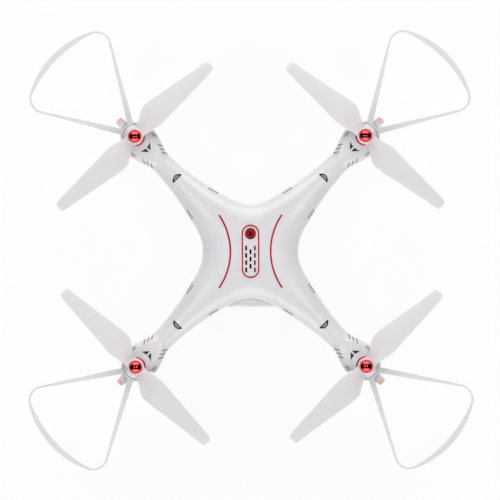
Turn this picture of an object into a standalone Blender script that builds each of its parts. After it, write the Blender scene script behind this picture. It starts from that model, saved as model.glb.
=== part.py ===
"""Quadcopter: two-shell X body, four geared and guarded rotors, slide-in battery, tilting camera, two legs."""
import math

import bmesh
import bpy
from mathutils import Matrix, Vector

MM = 0.001

# Fits
GAP = 0.3 * MM  # between neighbouring pieces
BUTTON_TRAVEL = 1.5 * MM

# Body in plan: s runs along an arm from the centre, and places marked back are measured from the rotor axis
MOTOR_SPACING = 254 * MM  # between neighbouring rotor axes
WAIST = 53.4 * MM  # centre to body edge between two arms
NECK_BACK = 43.6 * MM  # narrowest place of an arm
NECK_HALF = 12.8 * MM
TAPER = 20.6 * MM  # half-width an arm loses from the waist to its neck
FLARE_BACK = 39.6 * MM  # where the arm starts to widen towards its pod
SHOULDER_BACK = 9.6 * MM
SHOULDER_HALF = 21.2 * MM
BOSS_RADIUS = 13.2 * MM  # upper half of a pod
POD_RADIUS = 16.2 * MM  # lower half of a pod
POD_TURN = 115  # degrees from outward at which a pod leaves its shoulder
TAPER_POWER = 1.6
WAIST_POWER = 16  # higher keeps the waist curve tighter

# Body in height
SEAM_Z = 136 * MM
DECK_RISE = 16 * MM
ARM_RISE = 11 * MM
POD_RISE = 13 * MM
BELLY_DEPTH = 43 * MM
ARM_DEPTH = 13 * MM
POD_DEPTH = 24 * MM
WALL = 1.8 * MM
DECK_END_S = 55 * MM  # the deck is level this far out
BELLY_END_S = 40 * MM
ARM_LEVEL_BACK = 54.6 * MM
POD_LEVEL_BACK = 24.6 * MM
UPPER_FULLNESS = (5, 2.6, 4.5)  # section exponent at the centre, arm and pod: higher is squarer
LOWER_FULLNESS = (4, 2.6, 6)
ARM_STEPS = 9
ARM_SPREAD = 1.25  # sections stand closer together near the waist
CROWN_REACH = 2.2  # waist lengths over which the sections swing square to the arm
POD_STEPS = 5
SKIN_STEPS = 4

# Rotor
PROP_RADIUS = 115 * MM
BLADE_THICKNESS = 1.6 * MM
BLADE_PITCH = 16  # degrees
BLADE_Z = 156.5 * MM
HUB_RADIUS = 9.4 * MM
HUB_HEIGHT = 9 * MM
SHAFT_RADIUS = 1.5 * MM
NUT_RADIUS = 7.4 * MM
NUT_HEIGHT = 10.5 * MM
NUT_RIM = 3 * MM
COLLAR_RADIUS = 10.3 * MM
COLLAR_FLANGE = 1.2 * MM
COLLAR_NECK_RADIUS = 4 * MM
COLLAR_NECK = 4 * MM
BLADE_SEGMENTS = (22, 2)
BLADE_STATIONS = (  # radius, then width before and behind the axis, in mm
    (0, 7, 7), (20, 8.8, 11.5), (36, 11, 17.2), (62, 9.8, 13.0),
    (104, 8.0, 6.0), (111, 6.8, 4.3), (115, 4.6, 1.8),
)
CLOCKWISE = ("front_left", "rear_right")
REST_ANGLES = {"front_left": 0.0, "front_right": 1.2, "rear_left": -2.2, "rear_right": 1.2}

# Gear drive
GEAR_MODULE = 0.8 * MM
GEAR_TEETH = 30
PINION_TEETH = 8
GEAR_WIDTH = 4 * MM
GEAR_LIFT = 4 * MM  # pod floor to gear
TOOTH_THICKNESS = 1.0 * MM
ADDENDUM = 0.6 * MM
DEDENDUM = 0.9 * MM
ROOT_SPREAD = 0.2  # flank run per depth below the pitch circle
TIP_RELIEF = 0.4  # flank run per height above it
MOTOR_RADIUS = 7.5 * MM
MOTOR_SHAFT_RADIUS = 0.8 * MM
MOTOR_BORE_DEPTH = 6 * MM
MOTOR_LIFT = 1 * MM  # gear to motor
MOTOR_HEADROOM = 0.45 * MM

# Guards and lamps
GUARD_RADIUS = 128.9 * MM  # outer arc about the rotor axis
GUARD_ARC_WIDTH = 7.2 * MM
GUARD_CORNER_TURN = 24.2  # degrees either side of outward
GUARD_CORNER_RADIUS = 13.3 * MM
GUARD_THIN = 2.2 * MM
GUARD_ROOT_TURN = 25
GUARD_ROOT_WIDTH = 6.6 * MM
GUARD_CLIP_WALL = 2.6 * MM
GUARD_CLIP_TURN = 100
GUARD_HEIGHT = 5 * MM
LAMP_REACH = 25.8 * MM
LAMP_HALF = 5.2 * MM
LAMP_ROOT_TURN = 22
LAMP_BOW_TURN = 60
LAMP_HEIGHT = 13 * MM

# Deck
RING_HALF_WIDTH = 9 * MM
RING_LENGTH = 57.5 * MM
LINE_WIDTH = 1.4 * MM
TRIM_HEIGHT = 0.8 * MM
TRIM_ARC_RADIUS = 70.8 * MM
TRIM_ARC_X = 22.2 * MM
TRIM_ARC_REACH = 39.6 * MM
BUTTON_Y = 19.4 * MM
BUTTON_RADIUS = 5.9 * MM
BUTTON_PROUD = 1.2 * MM
BUTTON_CROWN = 0.23 * MM
BUTTON_FLANGE = 1.4 * MM
BUTTON_FLANGE_REACH = 2 * MM
SLOT_WIDTH = 1.6 * MM
SLOT_LENGTH = 5.8 * MM
SLOT_PITCH = 8 * MM
SLOT_COLUMN = 4.85 * MM
SLOT_TOP_Y = 3.5 * MM
LEAF_BACK = 66.3 * MM
LEAF_CHORD = 13.2 * MM
LEAF_BULGE = 4.9 * MM
POD_VENT_INNER = 17.7 * MM
POD_VENT_OUTER = 22 * MM
POD_VENT_TURNS = (4, 24)

# Battery and board
BATTERY_WIDTH = 58 * MM
BATTERY_HEIGHT = 26 * MM
BATTERY_LOW = 99 * MM
BATTERY_END_Y = -62 * MM
BATTERY_CAP = 13 * MM
BATTERY_LENGTH = 78 * MM
BATTERY_WALL = 1.4 * MM
BAY_WALL = 1.4 * MM
CAP_EDGE = 2.5 * MM
BOARD_SIZE = (50 * MM, 52 * MM)
BOARD_THICKNESS = 1.6 * MM
SWITCH_SIZE = (6 * MM, 6 * MM, 3.5 * MM)

# Camera
CAMERA_Y = 24 * MM
CAMERA_DROP = 21 * MM  # belly to tilt axis
CAMERA_RADIUS = 15 * MM
CAMERA_WIDTH = 35 * MM
CAMERA_FACE = 12.5 * MM  # tilt axis to flat front
BRACKET_PLATE = 3 * MM
BRACKET_EAR = 3 * MM
BRACKET_DEPTH = 15 * MM
PIN_RADIUS = 1.5 * MM
BARREL_RADIUS = 9 * MM
BARREL_BORE = 7 * MM
BARREL_LENGTH = 8 * MM
BARREL_FLOOR = 2 * MM
GLASS_THICKNESS = 1.5 * MM

# Landing legs
LEG_STEPS = 3  # body sections from the waist to a leg
LEG_RADIUS = 3.8 * MM
SKID_X = 50 * MM
SKID_HALF = 62 * MM
SKID_FLAT = 0.8 * MM  # depth cut off the round bar
LEG_BEND = 14 * MM
LEG_EASE = 0.15  # share of the leg over which it swings down

SHARP = math.radians(35)  # steeper edges are shaded sharp
DIAGONAL = math.sqrt(0.5)
MOTOR_S = MOTOR_SPACING * DIAGONAL
NECK_S = MOTOR_S - NECK_BACK
FLARE_S = MOTOR_S - FLARE_BACK
SHOULDER_S = MOTOR_S - SHOULDER_BACK
ARM_LEVEL_S = MOTOR_S - ARM_LEVEL_BACK
POD_LEVEL_S = MOTOR_S - POD_LEVEL_BACK
LEAF_S = MOTOR_S - LEAF_BACK
WAIST_S = WAIST * DIAGONAL
SHAFT_BORE = SHAFT_RADIUS + GAP
COLLAR_HOLE = COLLAR_NECK_RADIUS + GAP
POD_TOP = SEAM_Z + POD_RISE
DECK_TOP = SEAM_Z + DECK_RISE
BELLY_Z = SEAM_Z - BELLY_DEPTH
POD_FLOOR = SEAM_Z - POD_DEPTH
GEAR_Z = POD_FLOOR + WALL + GEAR_LIFT
GEAR_RADIUS = GEAR_MODULE * GEAR_TEETH / 2
PINION_RADIUS = GEAR_MODULE * PINION_TEETH / 2
MOTOR_OFFSET = GEAR_RADIUS + PINION_RADIUS
HUB_Z = POD_TOP + GAP + COLLAR_FLANGE + GAP
NUT_Z = HUB_Z + HUB_HEIGHT + GAP
CAMERA_Z = BELLY_Z - CAMERA_DROP
CORNERS = {
    "front_left": 135,
    "front_right": 45,
    "rear_left": 225,
    "rear_right": 315,
}


def smooth_step(value, low, high):
    k = min(max((value - low) / (high - low), 0), 1)
    return k * k * (3 - 2 * k)


def polar(radius, degrees, centre=(0, 0)):
    angle = math.radians(degrees)
    return (centre[0] + radius * math.cos(angle), centre[1] + radius * math.sin(angle))


def arc(radius, start, end, steps, centre=(0, 0)):
    return [polar(radius, start + (end - start) * k / steps, centre) for k in range(steps + 1)]


def rectangle(width, length, x=0, y=0):
    half_x = width / 2
    half_y = length / 2
    corners = ((-half_x, -half_y), (half_x, -half_y), (half_x, half_y), (-half_x, half_y))
    return [(x + dx, y + dy) for dx, dy in corners]


def turned(points, degrees):
    spin = Matrix.Rotation(math.radians(degrees), 2)
    return [tuple(spin @ Vector(point)) for point in points]


def clear_scene():
    for item in list(bpy.data.objects):
        bpy.data.objects.remove(item)
    for group in list(bpy.data.collections):
        bpy.data.collections.remove(group)


def new_collection(name):
    group = bpy.data.collections.new(name)
    bpy.context.scene.collection.children.link(group)
    return group


def new_material(name, colour, roughness, metallic=0.0):
    paint = bpy.data.materials.new(name)
    paint.use_nodes = True
    shader = paint.node_tree.nodes["Principled BSDF"]
    shader.inputs["Base Color"].default_value = (*colour, 1)
    shader.inputs["Roughness"].default_value = roughness
    shader.inputs["Metallic"].default_value = metallic
    paint.diffuse_color = (*colour, 1)
    return paint


def baked(item):
    """Mesh of an object as its modifiers leave it; the object is removed."""
    bpy.context.view_layer.update()
    graph = bpy.context.evaluated_depsgraph_get()
    mesh = bpy.data.meshes.new_from_object(item.evaluated_get(graph))
    mesh.name = item.name
    bpy.data.objects.remove(item)
    shape = bmesh.new()
    shape.from_mesh(mesh)
    bmesh.ops.remove_doubles(shape, verts=shape.verts, dist=1e-7)
    shape.to_mesh(mesh)
    shape.free()
    mesh.shade_smooth()
    mesh.set_sharp_from_angle(angle=SHARP)
    return mesh


def loose_object(name, data):
    item = bpy.data.objects.new(name, data)
    bpy.context.scene.collection.objects.link(item)
    return item


def outline_mesh(name, outlines, low, high):
    """Flat outlines, holes included, extruded from low to high."""
    curve = bpy.data.curves.new(name, "CURVE")
    curve.dimensions = "2D"
    curve.fill_mode = "BOTH"
    curve.extrude = (high - low) / 2
    for outline in outlines:
        spline = curve.splines.new("POLY")
        spline.points.add(len(outline) - 1)
        spline.use_cyclic_u = True
        for point, (x, y) in zip(spline.points, outline):
            point.co = (x, y, 0, 1)
    mesh = baked(loose_object(name, curve))
    mesh.transform(Matrix.Translation((0, 0, (low + high) / 2)))
    return mesh


def turned_mesh(name, profile, steps=24, closed=True):
    """Profile of (radius, height), outer side from the top down, turned about Z."""
    count = len(profile)
    edges = [(k, (k + 1) % count) for k in range(count if closed else count - 1)]
    mesh = bpy.data.meshes.new(name)
    mesh.from_pydata([(radius, 0, z) for radius, z in profile], edges, [])
    item = loose_object(name, mesh)
    screw = item.modifiers.new("turn", "SCREW")
    screw.steps = steps
    screw.render_steps = steps
    screw.use_merge_vertices = True
    screw.merge_threshold = 1e-6
    screw.use_smooth_shade = False
    return baked(item)


def cylinder_mesh(name, radius, low, high, steps=20):
    return turned_mesh(name, [(0, high), (radius, high), (radius, low), (0, low)], steps, closed=False)


def box_mesh(name, size, centre):
    mesh = bpy.data.meshes.new(name)
    shape = bmesh.new()
    bmesh.ops.create_cube(shape, size=1)
    bmesh.ops.scale(shape, vec=size, verts=shape.verts)
    bmesh.ops.translate(shape, vec=centre, verts=shape.verts)
    shape.to_mesh(mesh)
    shape.free()
    return mesh


def add_part(name, mesh, paint, parent=None, location=(0, 0, 0), rotation=(0, 0, 0)):
    item = bpy.data.objects.new(name, mesh)
    parts.objects.link(item)
    if not mesh.materials:
        mesh.materials.append(paint)
    item.parent = parent
    item.location = location
    item.rotation_euler = rotation
    return item


def add_cutter(name, mesh, location=(0, 0, 0), rotation=(0, 0, 0)):
    item = bpy.data.objects.new(name, mesh)
    cutters.objects.link(item)
    item.location = location
    item.rotation_euler = rotation
    item.hide_render = True
    item.display_type = "WIRE"
    return item


def boolean(item, other, operation="DIFFERENCE"):
    step = item.modifiers.new(operation.lower(), "BOOLEAN")
    step.operation = operation
    step.object = other
    step.solver = "EXACT"


def add_empty(name, location, turn=0):
    item = bpy.data.objects.new(name, None)
    parts.objects.link(item)
    item.location = location
    item.rotation_euler = (0, 0, math.radians(turn))
    return item


def arm_half_width(s):
    """Half-width of an arm at distance s from the body's centre."""
    x = max((NECK_S - s) / (NECK_S - WAIST_S), 0)
    flare = (SHOULDER_HALF - NECK_HALF) * smooth_step(s, FLARE_S, SHOULDER_S)
    waist = (WAIST_S - NECK_HALF - TAPER) * x**WAIST_POWER
    return NECK_HALF + TAPER * x**TAPER_POWER + waist + flare


def upper_rise(s):
    drop = (DECK_RISE - ARM_RISE) * smooth_step(s, DECK_END_S, ARM_LEVEL_S)
    return DECK_RISE - drop + (POD_RISE - ARM_RISE) * smooth_step(s, FLARE_S, POD_LEVEL_S)


def lower_depth(s):
    lift = (BELLY_DEPTH - ARM_DEPTH) * smooth_step(s, BELLY_END_S, ARM_LEVEL_S)
    return BELLY_DEPTH - lift + (POD_DEPTH - ARM_DEPTH) * smooth_step(s, FLARE_S, POD_LEVEL_S)


def fullness(s, values):
    """Exponent of the section's superellipse."""
    centre, arm, pod = values
    value = centre + (arm - centre) * smooth_step(s, BELLY_END_S, ARM_LEVEL_S)
    return value + (pod - arm) * smooth_step(s, FLARE_S, POD_LEVEL_S)


def section_rows(tip_radius, hole_radius):
    """Edge and crown ends of each cross-section, from the waist out along the arm and round the pod."""
    rows = []
    for k in range(ARM_STEPS + 1):
        share = (k / ARM_STEPS) ** ARM_SPREAD
        s = WAIST_S + (SHOULDER_S - WAIST_S) * share
        crown = s - WAIST_S * (1 - smooth_step(s, WAIST_S, CROWN_REACH * WAIST_S))
        rows.append(((s, arm_half_width(s)), (crown, 0)))
    for k in range(POD_STEPS + 1):
        edge = polar(tip_radius, POD_TURN * (1 - k / POD_STEPS), (MOTOR_S, 0))
        crown = polar(hole_radius, 180 * (1 - k / POD_STEPS), (MOTOR_S, 0))
        rows.append((edge, crown))
    return rows


def skin_mesh(name, rows, height, exponents, sign):
    """Half of one arm's skin, from the seam to the crown line."""
    seam = SEAM_Z + sign * GAP
    mesh = bpy.data.meshes.new(name)
    shape = bmesh.new()
    bmesh.ops.create_grid(shape, x_segments=len(rows) - 1, y_segments=SKIN_STEPS, size=1)
    for vert in shape.verts:
        edge, crown = rows[round((vert.co.x + 1) / 2 * (len(rows) - 1))]
        angle = (vert.co.y + 1) / 2 * math.pi / 2
        power = 2 / fullness(crown[0], exponents)
        out = max(math.cos(angle), 0) ** power
        x = crown[0] + (edge[0] - crown[0]) * out
        y = crown[1] + (edge[1] - crown[1]) * out
        vert.co = (x, y, seam + sign * height(x) * math.sin(angle) ** power)
    for face in shape.faces:
        face.smooth = True
    for edge in shape.edges:
        edge.smooth = max(abs(vert.co.z - seam) for vert in edge.verts) > GAP
    if sign > 0:
        bmesh.ops.reverse_faces(shape, faces=shape.faces)
    shape.to_mesh(mesh)
    shape.free()
    return mesh


def add_shell(name, mesh, paint):
    """Half arm mirrored to a whole arm, then to four, then given its wall."""
    shell = add_part(name, mesh, paint, rotation=(0, 0, math.radians(45)))
    halves = shell.modifiers.new("arm halves", "MIRROR")
    halves.use_axis = (False, True, False)
    halves.merge_threshold = 1e-5
    arms = shell.modifiers.new("four arms", "MIRROR")
    arms.use_axis = (True, True, False)
    arms.mirror_object = body_centre
    arms.merge_threshold = 1e-5
    wall = shell.modifiers.new("wall", "SOLIDIFY")
    wall.thickness = WALL
    wall.offset = -1
    wall.use_even_offset = True
    return shell


def slot_outlines():
    """Vent slots of the deck: four, three and four."""
    slots = []
    for column, count, drop in ((-1, 4, 0), (0, 3, 0.5), (1, 4, 0)):
        for k in range(count):
            y = SLOT_TOP_Y - SLOT_PITCH * (k + drop)
            slots.append(rectangle(SLOT_WIDTH, SLOT_LENGTH, SLOT_COLUMN * column, y))
    return slots


def arm_vent_outlines():
    """A half-moon on each arm and two tapering vents over each motor, in the arm's own frame."""
    leaf_radius = (LEAF_CHORD**2 / 4 + LEAF_BULGE**2) / (2 * LEAF_BULGE)
    leaf_turn = math.degrees(math.asin(LEAF_CHORD / 2 / leaf_radius))
    leaf = arc(leaf_radius, -leaf_turn, leaf_turn, 6, (LEAF_S + LEAF_BULGE - leaf_radius, 0))
    near, far = POD_VENT_TURNS
    vents = [leaf]
    for side in (-1, 1):
        rim = arc(POD_VENT_INNER, 180 + side * far, 180 + side * near, 3, (MOTOR_S, 0))
        vents.append(rim + [polar(POD_VENT_OUTER, 180 + side * near, (MOTOR_S, 0))])
    return vents


def build_shells():
    upper_rows = section_rows(BOSS_RADIUS, COLLAR_HOLE)
    upper_mesh = skin_mesh("upper_shell", upper_rows, upper_rise, UPPER_FULLNESS, 1)
    upper = add_shell("upper_shell", upper_mesh, white_gloss)
    vents = slot_outlines() + [arc(BUTTON_RADIUS + GAP, 0, 345, 23, (0, BUTTON_Y))]
    for turn in CORNERS.values():
        vents += [turned(outline, turn) for outline in arm_vent_outlines()]
    cutter_mesh = outline_mesh("deck_openings", vents, SEAM_Z + WALL, DECK_TOP + WALL)
    boolean(upper, add_cutter("deck_openings", cutter_mesh))

    lower_rows = section_rows(POD_RADIUS, SHAFT_BORE)
    lower_mesh = skin_mesh("lower_shell", lower_rows, lower_depth, LOWER_FULLNESS, -1)
    lower = add_shell("lower_shell", lower_mesh, white_gloss)
    reach = -BATTERY_END_Y + BATTERY_CAP
    port_size = (bay_size.x + 2 * GAP, reach, bay_size.z + 2 * GAP)
    port_place = (0, -WAIST / 2 - reach / 2, bay_centre.z)
    boolean(lower, add_cutter("battery_port", box_mesh("battery_port", port_size, port_place)))


def build_deck():
    half_run = RING_LENGTH / 2 - RING_HALF_WIDTH
    low = DECK_TOP + GAP
    high = low + TRIM_HEIGHT

    def stadium(radius):
        return arc(radius, 0, 180, 10, (0, half_run)) + arc(radius, 180, 360, 10, (0, -half_run))

    rings = [stadium(RING_HALF_WIDTH + LINE_WIDTH / 2), stadium(RING_HALF_WIDTH - LINE_WIDTH / 2)]
    add_part("deck_trim_ring", outline_mesh("deck_trim_ring", rings, low, high), red_trim)

    turn = math.degrees(math.asin(TRIM_ARC_REACH / TRIM_ARC_RADIUS))
    for name, facing in (("arc_trim_left", 180), ("arc_trim_right", 0)):
        centre = polar(TRIM_ARC_X + TRIM_ARC_RADIUS, facing)
        outer = arc(TRIM_ARC_RADIUS + LINE_WIDTH / 2, facing + 180 - turn, facing + 180 + turn, 12, centre)
        inner = arc(TRIM_ARC_RADIUS - LINE_WIDTH / 2, facing + 180 + turn, facing + 180 - turn, 12, centre)
        add_part(name, outline_mesh(name, [outer + inner], low, high), red_trim)

    ceiling = DECK_TOP - WALL
    flange_top = ceiling - GAP
    flange_radius = BUTTON_RADIUS + BUTTON_FLANGE_REACH
    profile = [
        (0, DECK_TOP + BUTTON_PROUD),
        (BUTTON_RADIUS - BUTTON_PROUD, DECK_TOP + BUTTON_PROUD - BUTTON_CROWN),
        (BUTTON_RADIUS, DECK_TOP + BUTTON_PROUD / 2),
        (BUTTON_RADIUS, flange_top),
        (flange_radius, flange_top),
        (flange_radius, flange_top - BUTTON_FLANGE),
        (BUTTON_RADIUS / 2, flange_top - BUTTON_FLANGE),
        (BUTTON_RADIUS / 2, switch_top + BUTTON_TRAVEL + GAP),
        (0, switch_top + BUTTON_TRAVEL + GAP),
    ]
    button = turned_mesh("power_button", profile, closed=False)
    add_part("power_button", button, red_trim, location=(0, BUTTON_Y, 0))


def build_electronics():
    board = outline_mesh("main_board", [rectangle(*BOARD_SIZE)], board_low, board_low + BOARD_THICKNESS)
    add_part("main_board", board, board_green)
    switch_centre = (0, BUTTON_Y, switch_top - SWITCH_SIZE[2] / 2)
    add_part("power_switch", box_mesh("power_switch", SWITCH_SIZE, switch_centre), dark_plastic)


def build_battery():
    bay = add_part("battery_bay", box_mesh("battery_bay", bay_size, bay_centre), dark_plastic)
    hollow_size = bay_size - Vector((2 * BAY_WALL, 0, 2 * BAY_WALL))
    hollow_centre = bay_centre - Vector((0, BAY_WALL, 0))
    boolean(bay, add_cutter("bay_hollow", box_mesh("bay_hollow", hollow_size, hollow_centre)))

    case = add_part("battery_case", box_mesh("battery_case", case_size, case_centre), dark_plastic)
    inner_size = case_size - Vector((2 * BATTERY_WALL, 0, 2 * BATTERY_WALL))
    inner_centre = case_centre - Vector((0, BATTERY_WALL, 0))
    boolean(case, add_cutter("case_hollow", box_mesh("case_hollow", inner_size, inner_centre)))

    cell_size = inner_size - Vector((2 * GAP, BATTERY_WALL + 2 * GAP, 2 * GAP))
    cell_centre = case_centre - Vector((0, BATTERY_WALL / 2, 0))
    cells = box_mesh("battery_cells", cell_size, cell_centre)
    add_part("battery_cells", cells, cell_wrap)

    cap_size = (BATTERY_WIDTH, BATTERY_CAP, BATTERY_HEIGHT)
    cap_centre = (0, BATTERY_END_Y + BATTERY_CAP / 2, case_centre.z)
    cap = add_part("battery_end_cap", box_mesh("battery_end_cap", cap_size, cap_centre), white_gloss)
    edge = cap.modifiers.new("rounded edges", "BEVEL")
    edge.width = CAP_EDGE
    edge.segments = 2


def build_camera():
    ear_x = CAMERA_WIDTH / 2 + GAP
    side = ear_x + BRACKET_EAR
    top = BELLY_Z - GAP
    foot = CAMERA_Z - 2 * PIN_RADIUS - BRACKET_EAR
    bracket_outline = [
        (-side, foot), (-ear_x, foot), (-ear_x, top - BRACKET_PLATE),
        (ear_x, top - BRACKET_PLATE), (ear_x, foot), (side, foot), (side, top), (-side, top),
    ]
    bracket_mesh = outline_mesh("camera_bracket", [bracket_outline], -BRACKET_DEPTH / 2, BRACKET_DEPTH / 2)
    stand_up = Matrix.Rotation(math.pi / 2, 4, "X")
    bracket_mesh.transform(Matrix.Translation((0, CAMERA_Y, 0)) @ stand_up)
    bracket = add_part("camera_bracket", bracket_mesh, dark_plastic)

    axis = {"location": (0, CAMERA_Y, CAMERA_Z), "rotation": (0, math.pi / 2, 0)}
    bore_mesh = cylinder_mesh("hinge_bore", PIN_RADIUS + GAP, -2 * side, 2 * side)
    bore = add_cutter("hinge_bore", bore_mesh, **axis)
    boolean(bracket, bore)
    pin = cylinder_mesh("camera_hinge_pin", PIN_RADIUS, -side, side)
    add_part("camera_hinge_pin", pin, steel, **axis)

    drum_mesh = cylinder_mesh("camera_housing", CAMERA_RADIUS, -CAMERA_WIDTH / 2, CAMERA_WIDTH / 2, 28)
    drum = add_part("camera_housing", drum_mesh, white_gloss, **axis)
    boolean(drum, bore)
    face_size = (2 * CAMERA_WIDTH, CAMERA_RADIUS, 3 * CAMERA_RADIUS)
    face_place = (0, CAMERA_Y + CAMERA_FACE + CAMERA_RADIUS / 2, CAMERA_Z)
    boolean(drum, add_cutter("camera_face", box_mesh("camera_face", face_size, face_place)))

    forward = {"location": (0, CAMERA_Y, CAMERA_Z), "rotation": (-math.pi / 2, 0, 0)}
    back = CAMERA_FACE + GAP
    front = back + BARREL_LENGTH
    floor = back + BARREL_FLOOR
    barrel_profile = [
        (0, floor), (BARREL_BORE, floor), (BARREL_BORE, front),
        (BARREL_RADIUS, front), (BARREL_RADIUS, back), (0, back),
    ]
    barrel = turned_mesh("camera_lens_barrel", barrel_profile, closed=False)
    add_part("camera_lens_barrel", barrel, dark_plastic, **forward)
    glass_low = floor + GAP
    glass = cylinder_mesh("camera_lens_glass", BARREL_BORE - GAP, glass_low, glass_low + GLASS_THICKNESS, 24)
    add_part("camera_lens_glass", glass, lens_glass, **forward)


def build_legs():
    """Each leg pair and its skid is one bent bar that meets two arms square and is cut flat below."""
    near, far = [row[1][0] for row in section_rows(POD_RADIUS, SHAFT_BORE)[LEG_STEPS:LEG_STEPS + 2]]
    seat_s = (near + far) / 2
    seat_depth = (lower_depth(near) + lower_depth(far)) / 2
    slope = (lower_depth(far) - lower_depth(near)) / (far - near)
    normal = Vector((-slope, 0, -1)).normalized()
    along = DIAGONAL * normal.x
    outward = Vector((along, along, normal.z))
    seat = Vector((seat_s * DIAGONAL, seat_s * DIAGONAL, SEAM_Z - GAP - seat_depth))
    top = seat + outward * 2 * GAP
    skid_z = LEG_RADIUS - SKID_FLAT
    knee = Vector((SKID_X, SKID_HALF, skid_z))
    bend = top + outward * LEG_BEND
    down = (knee - bend).normalized()
    half = [
        (top, outward * LEG_BEND / 3),
        (bend.lerp(knee, LEG_EASE), down * LEG_BEND),
        (knee - down * LEG_BEND, down * LEG_BEND / 2),
        (knee - Vector((0, LEG_BEND, 0)), Vector((0, -LEG_BEND / 2, 0))),
    ]
    whole = half + [(Vector((p.x, -p.y, p.z)), Vector((-h.x, h.y, -h.z))) for p, h in reversed(half)]
    for name, side in (("landing_leg_left", -1), ("landing_leg_right", 1)):
        curve = bpy.data.curves.new(name, "CURVE")
        curve.dimensions = "3D"
        curve.resolution_u = 4
        curve.bevel_depth = LEG_RADIUS
        curve.bevel_resolution = 1
        curve.use_fill_caps = True
        spline = curve.splines.new("BEZIER")
        spline.bezier_points.add(len(whole) - 1)
        for point, (place, handle) in zip(spline.bezier_points, whole):
            turn = Vector((side, 1, 1))
            point.co = place * turn
            point.handle_left = (place - handle) * turn
            point.handle_right = (place + handle) * turn
        leg = add_part(name, baked(loose_object(name, curve)), white_satin)
        floor_size = (4 * LEG_RADIUS, 3 * SKID_HALF, 2 * LEG_RADIUS)
        floor_place = (side * SKID_X, 0, -LEG_RADIUS)
        boolean(leg, add_cutter(name + "_floor", box_mesh(name + "_floor", floor_size, floor_place)))


def blade_widths(radius):
    """Widths of a blade before and behind its axis, at a radius."""
    scale = PROP_RADIUS / BLADE_STATIONS[-1][0]
    along = radius / scale
    for (start, lead, trail), (end, next_lead, next_trail) in zip(BLADE_STATIONS, BLADE_STATIONS[1:]):
        if along <= end:
            break
    k = min((along - start) / (end - start), 1)
    return (lead + (next_lead - lead) * k) * scale, (trail + (next_trail - trail) * k) * scale


def propeller_mesh():
    """Two pitched blades as one thickened sheet, joined to a bored hub."""
    mesh = bpy.data.meshes.new("propeller")
    shape = bmesh.new()
    bmesh.ops.create_grid(shape, x_segments=BLADE_SEGMENTS[0], y_segments=BLADE_SEGMENTS[1], size=1)
    for vert in shape.verts:
        side = 1 if vert.co.x >= 0 else -1
        radius = PROP_RADIUS * abs(vert.co.x)
        lead, trail = blade_widths(radius)
        y = -lead + (lead + trail) * (side * vert.co.y + 1) / 2
        pitch = math.tan(math.radians(BLADE_PITCH)) * smooth_step(radius, 0, 3 * HUB_RADIUS)
        vert.co = (side * radius, side * y, BLADE_Z - y * pitch)
    shape.to_mesh(mesh)
    shape.free()
    item = loose_object("propeller", mesh)
    wall = item.modifiers.new("thickness", "SOLIDIFY")
    wall.thickness = BLADE_THICKNESS
    wall.offset = 0
    hub = loose_object("hub", cylinder_mesh("hub", HUB_RADIUS, HUB_Z, HUB_Z + HUB_HEIGHT, 20))
    bore_mesh = cylinder_mesh("bore", SHAFT_BORE, HUB_Z - HUB_HEIGHT, HUB_Z + 2 * HUB_HEIGHT, 12)
    bore = loose_object("bore", bore_mesh)
    boolean(item, hub, "UNION")
    boolean(item, bore)
    result = baked(item)
    bpy.data.objects.remove(hub)
    bpy.data.objects.remove(bore)
    return result


def mirrored(mesh):
    other = mesh.copy()
    other.transform(Matrix.Scale(-1, 4, (0, 1, 0)))
    other.flip_normals()
    return other


def gear_outline(teeth, radius, start):
    """Straight-flanked teeth, slim enough to run with backlash."""
    pitch_turn = 360 / teeth
    root = math.degrees((TOOTH_THICKNESS / 2 + DEDENDUM * ROOT_SPREAD) / radius)
    tip = math.degrees((TOOTH_THICKNESS / 2 - ADDENDUM * TIP_RELIEF) / radius)
    points = []
    for k in range(teeth):
        middle = start + pitch_turn * k
        for out, turn in ((-DEDENDUM, -root), (ADDENDUM, -tip), (ADDENDUM, tip), (-DEDENDUM, root)):
            points.append(polar(radius + out, middle + turn))
    return points


def guard_outlines():
    """Clip, two struts and a bow round the rotor, then the open loop inside it; x points outward."""
    clip_outer = BOSS_RADIUS + GAP + GUARD_CLIP_WALL
    corner = GUARD_RADIUS - GUARD_CORNER_RADIUS
    inner_corner = GUARD_CORNER_RADIUS - GUARD_THIN
    end = Vector(polar(corner, GUARD_CORNER_TURN))
    root = Vector(polar(clip_outer, GUARD_ROOT_TURN))
    run = (end - root).normalized()
    across = Vector((-run.y, run.x))
    heading = math.degrees(math.atan2(across.y, across.x))
    root_turn = math.degrees(GUARD_ROOT_WIDTH / 2 / clip_outer)

    outer = arc(clip_outer, GUARD_CLIP_TURN, GUARD_ROOT_TURN + root_turn, 6)
    outer += arc(GUARD_CORNER_RADIUS, heading, GUARD_CORNER_TURN, 6, end)
    outer += arc(GUARD_RADIUS, GUARD_CORNER_TURN, 0, 6)[1:]
    outer += [(x, -y) for x, y in reversed(outer[:-1])]
    outer += arc(BOSS_RADIUS + GAP, -GUARD_CLIP_TURN, GUARD_CLIP_TURN, 16)

    middle = GUARD_RADIUS - GUARD_ARC_WIDTH
    inner_end = Vector(polar(corner + inner_corner, GUARD_CORNER_TURN))
    bow_radius = (inner_end.y**2 + (inner_end.x - middle) ** 2) / (2 * (middle - inner_end.x))
    bow_turn = math.degrees(math.asin(inner_end.y / bow_radius))
    loop = arc(clip_outer, 0, GUARD_ROOT_TURN - root_turn, 2)
    loop += arc(inner_corner, heading, GUARD_CORNER_TURN, 6, end)
    loop += arc(bow_radius, bow_turn, 0, 6, (middle - bow_radius, 0))[1:]
    loop += [(x, -y) for x, y in reversed(loop[1:-1])]
    return [outer, loop]


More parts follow.
